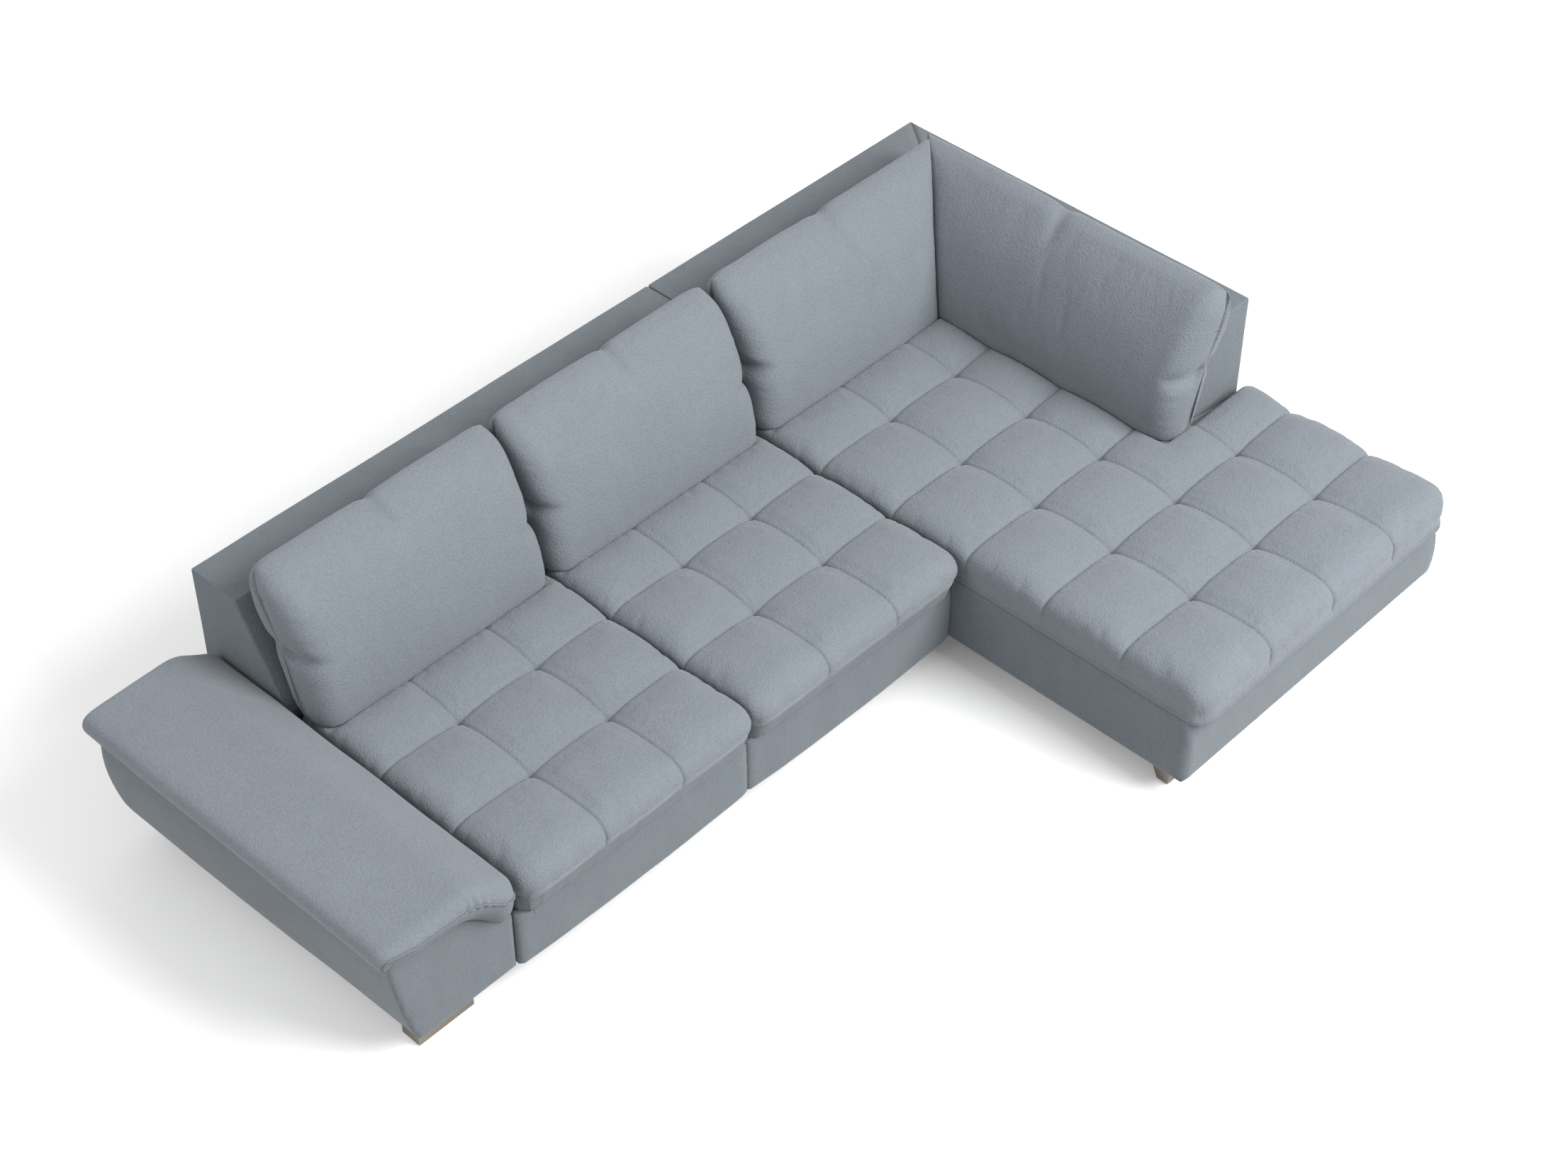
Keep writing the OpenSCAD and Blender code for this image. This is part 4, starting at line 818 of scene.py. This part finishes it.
# Depths of the backs at their top and at the knee, and the heights of top and knee
LONG_TOP, LONG_FOOT = 168.0, 316.0
RIGHT_TOP, RIGHT_FOOT = 125.0, 242.0
BACK_H, KNEE = 662.0, 380.0
BASE_LOW, BASE_TOP = 80.0, 286.0


def back_outline(top, foot, low):
    return [(0.0, low), (0.0, BACK_H), (-top, BACK_H), (-foot, KNEE), (-foot, low)]


def mitre_long(v):
    """Ends the long back where its face meets the right back's."""
    v = v.copy()
    lim = -np.interp(-v[:, 1], [0, LONG_TOP, LONG_FOOT], [0, RIGHT_TOP, RIGHT_FOOT]) - 0.4
    v[:, 0] = np.where(v[:, 0] > -400, -400 + (v[:, 0] + 400) / 400.0 * (lim + 400), v[:, 0])
    return v


def mitre_right(v):
    """Ends the right back where its face meets the long back's."""
    v = v.copy()
    lim = -np.interp(-v[:, 0], [0, RIGHT_TOP, RIGHT_FOOT], [0, LONG_TOP, LONG_FOOT]) - 0.4
    v[:, 1] = np.where(v[:, 1] > -500, -500 + (v[:, 1] + 500) / 500.0 * (lim + 500), v[:, 1])
    return v


o = prism("back_left_cover", back_outline(LONG_TOP, LONG_FOOT, BASE_LOW), -2602.0, -1063.5, "x", 31)
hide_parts("back_cover_left")
o = prism("back_corner_cover", back_outline(LONG_TOP, LONG_FOOT, BASE_TOP), -1061.5, 0.0, "x", 32,
          mitre_long)
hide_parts("back_cover_corner")
o = prism("back_right_cover", back_outline(RIGHT_TOP, RIGHT_FOOT, BASE_TOP), -1208.0, 0.0, "y", 33,
          mitre_right)
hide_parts("back_cover_right")


# Front panels: crowned face, soft ends
PANEL_TOP = 251.0
PANEL_SOFT = 7.0
for k, (a, b) in enumerate(SEAT_X):
    t = np.linspace(0, 1, 25)
    a = a - (5.5 if k == 0 else 0.6)
    b = b + (0.6 if k == 0 else 2.0)
    crown = 8 * (1 - np.sin(math.pi * t) ** 0.7)
    face = np.column_stack([a + PANEL_SOFT + t * (b - a - 2 * PANEL_SOFT), -1110 + crown])
    ends = []
    turns = [180, 200, 220, 240, 256], [284, 300, 320, 340, 360]
    for x, angles in zip((a + PANEL_SOFT, b - PANEL_SOFT), turns):
        q = np.radians(angles)
        ends.append(np.column_stack([x + PANEL_SOFT * np.cos(q), -1102 + PANEL_SOFT * (1 + np.sin(q))]))
    outline = np.vstack([(a, -1076.0), ends[0], face, ends[1], (b, -1076.0)])
    ring = resample(outline, 90, True)
    levels = [(80.0, 5.0), (81.5, 1.8), (84.5, 0.4)] + [(90 + q * 15.0, 0.0) for q in range(11)]
    levels += [(246, 0.0), (250.5, 0.6), (253.5, 2.2), (255.5, 5.0)]
    rings = []
    for z, s_in in levels:
        r = ring.copy()
        bulge = 1.8 * math.sin(math.pi * (z - BASE_LOW) / (PANEL_TOP - BASE_LOW))
        r[:, 1] = np.where(r[:, 1] < -1080, r[:, 1] + s_in - bulge, r[:, 1])
        r[:, 0] = np.clip(r[:, 0], a + s_in, b - s_in)
        rings.append(np.column_stack([r, np.full(len(r), z)]))
    verts, faces = capped(rings)
    ripple = noise3(verts, 110, 41 + k) * 0.9 + noise3(verts * [1, 1, 0.3], 30, 45 + k) * 0.4
    verts[:, 1] += np.where(verts[:, 1] < -1080, ripple, 0)
    # the front panel takes the side cloth with painted shade
    o = mesh(f"front_panel_{k + 1}_cover", verts, faces, CLOTH_SIDE_SHADED)
    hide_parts(f"front_panel_{k + 1}")


# Chaise base: its right side bows out, as height and reach
BOW = np.array([(80, 11), (93, 24), (110, 31), (148, 34), (191, 30), (222, 22), (251, 9), (286, 0)], float)
rings = []
for z in np.concatenate([[80, 81.5, 84, 88], np.linspace(94, 278, 20), [282, 285, 286.3]]):
    e = 0.0
    if z < 88:
        e = 8 - math.sqrt(max(64 - (88 - z) ** 2, 0))
    if z > 282:
        e = (z - 282) * 0.8
    bulge = 1.6 * math.sin(math.pi * (z - BASE_LOW) / (BASE_TOP - BASE_LOW))
    left = -1062 + e - bulge * 0.5
    right = np.interp(z, BOW[:, 0], BOW[:, 1]) - e
    front = -1870 + e - bulge
    ring = rounded_outline([(left, -e * 0.5), (left, front), (right, front), (right, -e * 0.5)], 11.0, 7, 28.0)
    if rings and len(ring) != len(rings[0]):
        ring = resample(ring, len(rings[0]), True)
    rings.append(np.column_stack([ring, np.full(len(ring), z)]))
verts, faces = capped(rings, cap=10)
wob = noise3(verts * [1, 1, 0.6], 150, 51) * 1.0 + noise3(verts * [1, 1, 0.3], 42, 52) * 0.35
faces, nrm = outward(verts, faces)
verts += nrm * (wob - 1.0)[:, None] * (np.abs(nrm[:, 2]) < 0.5)[:, None]
# the base takes the side cloth with painted shade
o = mesh("corner_base_skin", verts, faces, CLOTH_SIDE_SHADED)
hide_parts("corner_base_cover")


# Back cushions: each outline is depth from the back's rear face and height, starting at the foot's rear edge
LONG_LOOP = [(318, 388), (330, 386.4), (380, 386.3), (434, 386.6), (446, 391), (449.5, 408), (447, 440),
             (441, 480), (432, 520), (417, 570), (398, 620), (381, 662), (362, 700), (325, 750), (285, 782),
             (252, 796), (228, 798), (206, 778), (194, 745), (185, 700), (187.5, 640), (225, 569), (262, 498),
             (300, 426), (314, 398)]
RIGHT_LOOP = [(244.5, 388), (258, 386.4), (300, 386.3), (356, 386.6), (367, 391), (370.5, 408), (370, 440),
              (364, 500), (353, 560), (334, 615), (313, 660), (290, 700), (255, 750), (218, 785), (190, 797),
              (166, 798), (146, 780), (134, 745), (127, 705), (131.5, 664), (157, 600), (186, 530), (217, 455),
              (240, 400)]
CUSHION_LOW, CUSHION_TOP = 386.3, 798.0
END_R = 74.0
MITRE_R = 24.0
# Height of the tuck in each end, as a share of the cushion's height
TUCK = 0.45


def cushion_mesh(name, loop, a, b, mitred, place_fn, rear, pinch, seed):
    """A pillow along its width w from a to b, with its cover drawn in at the ends and at each pinch of the top
    edge. A mitred far end is set by place_fn. rear is the depth of the pillow's back at foot, knee and top."""
    ring = resample(smooth_curve(loop, True, 8), 170, True)
    foot = (loop[1][0] + loop[4][0]) / 2
    middle = np.interp(ring[:, 1], [386, 520, 662, 798], [foot, foot - 34, foot - 100, foot - 142])
    up = np.clip((ring[:, 1] - CUSHION_LOW) / (CUSHION_TOP - CUSHION_LOW), 0, 1)
    fore = ring[:, 0] - middle
    width = b - a
    near = [END_R * (1 - math.cos(q)) for q in np.linspace(0, math.pi / 2, 15)]
    w_list = [a + v for v in near]
    start, stop = w_list[-1], b - (MITRE_R if mitred else END_R)
    count = int((stop - start) / 7.5)
    w_list += [start + (stop - start) * k / count for k in range(1, count)]
    w_list += [b - MITRE_R, b - 12, b - 4, b] if mitred else [b - v for v in reversed(near)]
    rings = []
    for w in w_list:
        da, db = w - a, b - w
        open_end = da if mitred else min(da, db)
        th = 1.0
        if open_end < END_R:
            th = (1 - (1 - open_end / END_R) ** 2.4) ** (1 / 2.4)
        if mitred and db < MITRE_R:
            th = min(th, 0.86 + 0.14 * (1 - (1 - db / MITRE_R) ** 2) ** 0.5)
        th = 0.18 + 0.82 * th
        ear = 1 - th
        depth = middle + fore * th - 22 * ear
        # the bottom stays flat, and the top dips a little at the ends
        z = ring[:, 1] - ear * 26 * up ** 3
        z = np.where(ring[:, 1] < 400, z + ear * 2, z)
        u = (w - a) / width
        rise = math.sin(math.pi * 0.5 * min(u * 1.6, 1)) if mitred else math.sin(math.pi * min(max(u, 0), 1))
        front = np.clip(fore / 40, 0, 1) * np.sin(np.pi * up) ** 0.8
        depth += front * 7.0 * rise ** 0.7
        for c in pinch:
            off = (u - c) * width
            narrow = math.exp(-(off / 15.0) ** 2)
            fan = math.exp(-(off / 9.0) ** 2)
            z -= (narrow * 10 + math.exp(-(off / 60.0) ** 2) * 4) * smooth01((up - 0.80) / 0.20)
            depth -= front * (narrow * 3.0 + fan * 4.0) * smooth01((up - 0.80) / 0.14)
            for lean, amp in ((22, 1.2), (-18, 1.0)):
                line = off - lean * (0.97 - up) / 0.14
                depth -= amp * front ** 0.5 * np.exp(-(line / 8.0) ** 2) * smooth01((up - 0.80) / 0.10)
        # the ends draw in at the tuck, with short gathers beside it
        inward = 0.0
        if da < END_R:
            inward = 1 - da / END_R
        if db < END_R and not mitred:
            inward = -(1 - db / END_R)
        draw = 6 * np.exp(-((up - TUCK) / 0.22) ** 2) + 15 * np.exp(-((up - TUCK) / 0.055) ** 2)
        draw += 16 * np.clip((up - 0.86) / 0.14, 0, 1) ** 2 + 8 * np.clip((0.12 - up) / 0.12, 0, 1) ** 2
        gathers = noise3(np.column_stack([z, depth * 0.15, z * 0]), 15, seed + 7)
        depth += 2.4 * gathers * math.exp(-(open_end / 34.0) ** 2) * np.clip(fore / 30, 0, 1)
        depth -= 5.0 * math.exp(-(open_end / 52.0) ** 2) * np.exp(-((up - TUCK) / 0.035) ** 2) * (fore > 0)
        rings.append(place_fn(w + inward * draw, depth, z))
    verts, faces = capped(rings, cap=3)
    faces, nrm = outward(verts, faces)
    lift = noise3(verts, 120, seed) * 2.0 + noise3(verts, 46, seed + 3) * 0.8
    verts = verts + nrm * (lift - 1.6)[:, None] * (verts[:, 2] > 395)[:, None]

    lo, hi = verts[:, :2].min(0), verts[:, :2].max(0)
    across = 0 if hi[0] - lo[0] > hi[1] - lo[1] else 1

    def free(q):
        w = q[:, across]
        back = -np.interp(q[:, 2], [388, 662, 797], rear)
        f = smooth01((q[:, 2] - 398) / 60.0) * smooth01((797 - q[:, 2]) / 26.0)
        f *= smooth01((back - q[:, 1 - across] - 22) / 40.0)
        return f * smooth01((w - lo[across] - 4) / 46.0) * smooth01((hi[across] - w - 4) / 46.0)

    verts = settle(verts, faces, free, voxel=0.009, cap=0.0045, shrink=-0.004)
    o = mesh(name + "_cover", verts, faces, CLOTH, name)
    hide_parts(name)


def mitre_at(z):
    """Where the two corner cushions meet, out from the corner, at a height."""
    return np.interp(z, [KNEE, BACK_H], [74, 43])


def far_half(w, a, b):
    """0 up to the middle of a cushion, then rising to 1 at its far end."""
    return np.clip(((w - a) / (b - a) - 0.5) / 0.5, 0, 1)


def along_long(w, depth, z):
    return np.column_stack([w, -depth, z])


CORNER_A, CORNER_B = -1063.0, -395.0
RIGHT_A, RIGHT_B = -1250.0, -438.0


def along_corner(w, depth, z):
    x = w + far_half(w, CORNER_A, CORNER_B) * (mitre_at(z) + 1.0 - depth - CORNER_B)
    return np.column_stack([x, -depth, z])


def along_right(w, depth, z):
    y = w + far_half(w, RIGHT_A, RIGHT_B) * (-depth - mitre_at(z) + 3.0 - RIGHT_B)
    return np.column_stack([-depth, y, z])


LONG_REAR, RIGHT_REAR = (318, 187, 228), (244, 131, 166)
for row in [("back_cushion_1", LONG_LOOP, -2588.0, -1837.0, False, along_long, LONG_REAR, (0.48,), 61),
            ("back_cushion_2", LONG_LOOP, -1832.0, -1069.0, False, along_long, LONG_REAR, (0.51,), 62),
            ("back_cushion_3", LONG_LOOP, CORNER_A, CORNER_B, True, along_corner, LONG_REAR, (0.585,), 63),
            ("back_cushion_right", RIGHT_LOOP, RIGHT_A, RIGHT_B, True, along_right, RIGHT_REAR, (0.61,), 71)]:
    cushion_mesh(*row)


# Arm body: the outer side flares out toward the top and bows a little more toward the rear
X_FOLD = -2742.0
X_FLARE = -2740.0
X_INNER = -2592.0
ARM_LOW, ARM_TOP = 262.0, 396.0
ARM_FRONT, ARM_REAR = -1093.0, -50.0
s_curve = bez((X_INNER, ARM_LOW), (-2660, 284), (-2700.8, 368), (-2802, ARM_TOP), 22)
outer_side = bez((-2897, 80), (-2925, 150), (-2952, 290), (-2960, ARM_TOP), 40)
REAR_SIDE = np.array([(-2911, 80), (-2925, 109), (-2938, 141), (-2947, 172), (-2954, 202), (-2961, 235),
                      (-2966, 266), (-2969.5, 302), (-2970, 337), (-2968, 371), (-2964, ARM_TOP)])
levels = [(80.0, 7.0), (80.6, 4.2), (82.2, 1.9), (84.6, 0.6), (88.0, 0.0)]
levels += [(z, 0.0) for z in np.linspace(98, 250, 14)] + [(float(z), 0.0) for _, z in s_curve]
rings = []
for z, e in levels:
    xl = np.interp(z, outer_side[:, 1], outer_side[:, 0]) + e
    xr = (np.interp(z, s_curve[:, 1], s_curve[:, 0]) if z > ARM_LOW else X_INNER) - e
    bow_out = np.interp(z, REAR_SIDE[:, 1], REAR_SIDE[:, 0]) + e - xl
    y0, y1 = ARM_FRONT + e, ARM_REAR - e
    ring = resample(rounded_outline([(xl, y1), (xl, y0), (xr, y0), (xr, y1)], 6.0, 7, 24.0), 180, True)
    outer_share = np.clip((X_FLARE - ring[:, 0]) / (X_FLARE - xl), 0, 1)
    ring[:, 0] += bow_out * outer_share * smooth01((ring[:, 1] - ARM_FRONT) / 800.0)
    # beside the back's end the inner side steps in
    ring[:, 0] = np.where(ring[:, 1] > -322, np.minimum(ring[:, 0], -2604.0), ring[:, 0])
    rings.append(np.column_stack([ring, np.full(len(ring), z)]))
verts, faces = capped(rings, cap=6)
faces, nrm = outward(verts, faces)
lift = noise3(verts * [1, 1, 0.7], 150, 81) * 0.8 + noise3(verts, 48, 82) * 0.3 - 0.2
keep = (((verts[:, 0] < -2615) | (verts[:, 2] < 250)) & (verts[:, 2] < 380))[:, None]
# the arm body takes the side cloth with painted shade
o = mesh("arm_body_cover", verts + nrm * lift[:, None] * keep, faces, CLOTH_SIDE_SHADED)
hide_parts("arm_cover")


# Arm pad: one skin over the flap and the roll, bending at the fold. Each column is a loop over the top, down
# the front to the piping, back under and up the rear end, and all columns close on the two side seams.
def split_curve(points, knots, counts):
    """Points spread between knots (indexes into points), counts per stretch."""
    p = np.asarray(points, float)
    out = []
    for i, j, n in zip(knots[:-1], knots[1:], counts):
        out.append(resample(p[i:j + 1], n + 1)[:-1])
    return np.vstack(out + [p[-1:]])


TOP_PTS = [(-2963, 408), (-2985, 419), (-3001, 440), (-3006, 462), (-3000, 481), (-2984, 491.5), (-2950, 497),
           (-2900, 498.3), (-2850, 498.6), (-2800, 498.6), (-2765, 499.6), (-2742, 499), (-2722, 494.5),
           (-2702, 485), (-2682, 472.5), (-2661, 459.5), (-2640, 447), (-2621, 433), (-2610, 413),
           (-2606.5, 388), (-2606, 366)]
PER = 8
COUNTS = [16, 56, 24]
UNDERSIDE = 396.5
T = split_curve(smooth_curve(TOP_PTS, per=PER), [0, 5 * PER, 16 * PER, 20 * PER], COUNTS)
low_pts = np.vstack([
    smooth_curve([(-2963, 408), (-2960, 401), (-2952, UNDERSIDE)], per=PER),
    np.column_stack([np.linspace(-2940, -2815, 12), np.full(12, UNDERSIDE)]),
    bez((-2802, UNDERSIDE), (-2700.8, 369), (-2665, 287), (-2630, 269), 30, False),
    smooth_curve([(-2630, 269), (-2616, 270), (-2608.5, 288), (-2606.5, 322), (-2606, 366)], per=PER)])
k_mid = int(np.argmin(np.abs(low_pts[:, 0] + 2668)))
B = split_curve(low_pts, [0, 16, k_mid, len(low_pts) - 1], COUNTS)
NU = len(T)
arc_t = np.concatenate([[0], np.cumsum(np.linalg.norm(np.diff(T, axis=0), axis=1))])
# how far each column reaches forward, and how far down the front the piping runs
reach_f = np.interp(arc_t, [0, 30, 62, 100, 134, 174], [0, 0.2, 0.46, 0.66, 0.87, 1.0])
reach_f *= 0.10 + 0.90 * np.sqrt(1 - np.clip((T[:, 0] + 2652) / 46.5, 0, 1) ** 2)
pipe_in = np.interp(T[:, 0], [-2990, -2910, -2760, -2704, -2654, -2629], [20, 28, 36, 46, 52, 54])
pipe_in = np.minimum(pipe_in, (arc_t[-1] - arc_t) * 0.85)
thick = np.linalg.norm(T - B, axis=1)
v_pipe = np.clip(pipe_in / np.maximum(thick, 60.0), 0.04, 0.6)
Y_FRONT, Y_ROLL, Y_CREASE, Y_REAR = -1150.0, -1110.0, -1097.0, -45.0
REAR_R = 24
rear_turn = [math.pi / 2 * k / 6 for k in range(7)]
y_tops = np.linspace(Y_REAR - REAR_R, Y_ROLL, 92)


def forward(y):
    """How far forward each column gets on its way to y."""
    return Y_CREASE + (y - Y_CREASE) * reach_f


rows = []
for q in rear_turn:
    rows.append((T + (B - T) * (0.5 * (1 - math.sin(q))), np.full(NU, Y_REAR - REAR_R + REAR_R * math.cos(q))))
for y in y_tops[1:]:
    rows.append((T, forward(y) if y < Y_CREASE else np.full(NU, y)))
for q in np.linspace(0, math.pi / 2, 9)[1:]:
    y = Y_ROLL + (Y_FRONT - Y_ROLL) * math.sin(q)
    rows.append((T + (B - T) * (v_pipe * (1 - math.cos(q)))[:, None], forward(y)))
pipe_row = len(rows) - 1
BAND = 7
for q in np.linspace(0, 1, BAND + 1)[1:]:
    y = Y_FRONT + (Y_CREASE - Y_FRONT) * q ** 1.9
    rows.append((T + (B - T) * (v_pipe + (1 - v_pipe) * q)[:, None], forward(y)))
for y in [v for v in y_tops[::-1] if v > Y_CREASE]:
    rows.append((B, np.full(NU, y)))
for q in rear_turn[1:-1]:
    rows.append((B + (T - B) * (0.5 * (1 - math.cos(q))), np.full(NU, Y_REAR - REAR_R + REAR_R * math.sin(q))))
NR = len(rows)
verts = np.array([[q[0], y, q[1]] for section, ys in rows for q, y in zip(section, ys)])
faces = []
for j in range(NR):
    for i in range(NU - 1):
        a, b = j * NU + i, ((j + 1) % NR) * NU + i
        faces.append((a, a + 1, b + 1, b))
faces, nrm = outward(verts, faces)
row_i = np.repeat(np.arange(NR), NU)
along = np.tile(arc_t, NR)
x, y, z = verts.T
is_top = row_i <= pipe_row
seam_fade = smooth01(along / 30.0) * smooth01((arc_t[-1] - along) / 40.0)
lift = (noise3(verts * [1, 0.8, 1], 150, 91) * 1.6 + noise3(verts, 60, 92) * 0.5) * seam_fade
lift = np.where(np.abs(x - X_FOLD) < 26, np.maximum(lift, -0.3), lift)
# short wavy puckers drawn up along the outer side seam
seam_line = np.column_stack([y, y * 0, z * 0.2])
outer = np.exp(-((along - 22) / 20.0) ** 2) * is_top
lift += outer * (noise3(seam_line, 44, 93) * 3.2 + noise3(seam_line, 17, 97) * 1.2)
# pleats that run back from the piping at the bend, and small gathers along the rest of it
above = np.linalg.norm(verts - np.tile(verts[pipe_row * NU:(pipe_row + 1) * NU], (NR, 1)), axis=1)
PLEATS = [(-2792, 1.6, 6, 26), (-2764, 3.4, 6, 36), (-2741, 5.0, 6, 44), (-2718, 4.4, 6, 34),
          (-2696, 2.4, 5, 26), (-2838, 1.4, 7, 22), (-2884, 1.4, 7, 24)]
for pleat_x, deep, wide, length in PLEATS:
    g = np.exp(-((x - pleat_x) / wide) ** 2) - 0.45 * np.exp(-((x - pleat_x - 13) / 8) ** 2)
    lift -= deep * g * np.exp(-(above / length) ** 2) * is_top
lift += flat_noise(x, y * 0.2, 16, 98) * 0.7 * np.exp(-(above / 16.0) ** 2) * is_top
verts = verts + nrm * (lift * (row_i < pipe_row + BAND))[:, None]
pad_pipe = verts[pipe_row * NU:(pipe_row + 1) * NU][3:-3] + np.array([0, -1.2, 0])
o = mesh("arm_pad_cover", verts, faces, CLOTH, ride=False)
weld = bmesh.new()
weld.from_mesh(o.data)
bmesh.ops.remove_doubles(weld, verts=weld.verts, dist=0.00003)
weld.to_mesh(o.data)
weld.free()
# the front band takes the darker cloth with painted shade
second_material(o, CLOTH_STRIP_SHADED, range(pipe_row * (NU - 1), (pipe_row + BAND) * (NU - 1)))
soft = o.modifiers.new("soft", "SUBSURF")
soft.levels = 1
soft.render_levels = 1
soft.use_limit_surface = False
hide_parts("arm_flap", "arm_roll")
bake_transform(o)
o = tube("arm_pad_piping", resample(pad_pipe, 150), 3.4, PIPING_SHADED, ride=False)
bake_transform(o)


# Floor, light and backdrop
def floor_material():
    t = Tree("studio_floor")
    c = t.ramp(t.noise(1.2, 2.0), two(0.3, 0.7, *grey(0.87, 0.89)))
    t.done(c, 0.85)
    # the camera sees a paler floor than the one that throws light back at the sofa
    seen = t.n.new("ShaderNodeLightPath").outputs["Is Camera Ray"]
    t.link(t.mix(seen, (0.50, 0.50, 0.50), c), t.bsdf.inputs["Base Color"])
    glow = t.n.new("ShaderNodeEmission")
    share = t.n.new("ShaderNodeMixShader")
    t.link(t.math("MULTIPLY", seen, 0.10), share.inputs["Fac"])
    t.link(t.bsdf.outputs["BSDF"], share.inputs[1])
    t.link(glow.outputs["Emission"], share.inputs[2])
    t.link(share.outputs["Shader"], t.n["Material Output"].inputs["Surface"])
    return t.m


FAR = 40
me = bpy.data.meshes.new("floor")
me.from_pydata([(-FAR, -FAR, 0), (FAR, -FAR, 0), (FAR, FAR, 0), (-FAR, FAR, 0)], [], [(0, 1, 2, 3)])
floor = bpy.data.objects.new("floor", me)
floor.data.materials.append(floor_material())
scene.collection.objects.link(floor)

world = bpy.data.worlds.new("studio")
scene.world = world
world.use_nodes = True
wn, wl = world.node_tree.nodes, world.node_tree.links
up = wn.new("ShaderNodeSeparateXYZ")
wl.new(wn.new("ShaderNodeTexCoord").outputs["Generated"], up.inputs[0])
rise = wn.new("ShaderNodeMapRange")
for key, val in (("From Min", 0.0), ("From Max", 1.0), ("To Min", 0.67), ("To Max", 0.79)):
    rise.inputs[key].default_value = val
wl.new(up.outputs["Z"], rise.inputs["Value"])
wl.new(rise.outputs["Result"], wn["Background"].inputs["Strength"])
wn["Background"].inputs["Color"].default_value = (1, 1, 1, 1)


def area(name, loc, target, size, power):
    """A round soft light at loc, turned to target."""
    light = bpy.data.lights.new(name, "AREA")
    light.shape = "DISK"
    light.size = size
    light.energy = power
    o = bpy.data.objects.new(name, light)
    o.location = loc
    o.rotation_euler = (Vector(target) - Vector(loc)).to_track_quat("-Z", "Y").to_euler()
    scene.collection.objects.link(o)


area("key", loc=(2.6, -6.2, 6.2), target=(0.0, -0.2, 0.3), size=5.6, power=1290)
area("fill", loc=(-6.0, 0.4, 4.4), target=(0.2, 0.0, 0.4), size=4.4, power=175)

scene.view_settings.view_transform = "Standard"
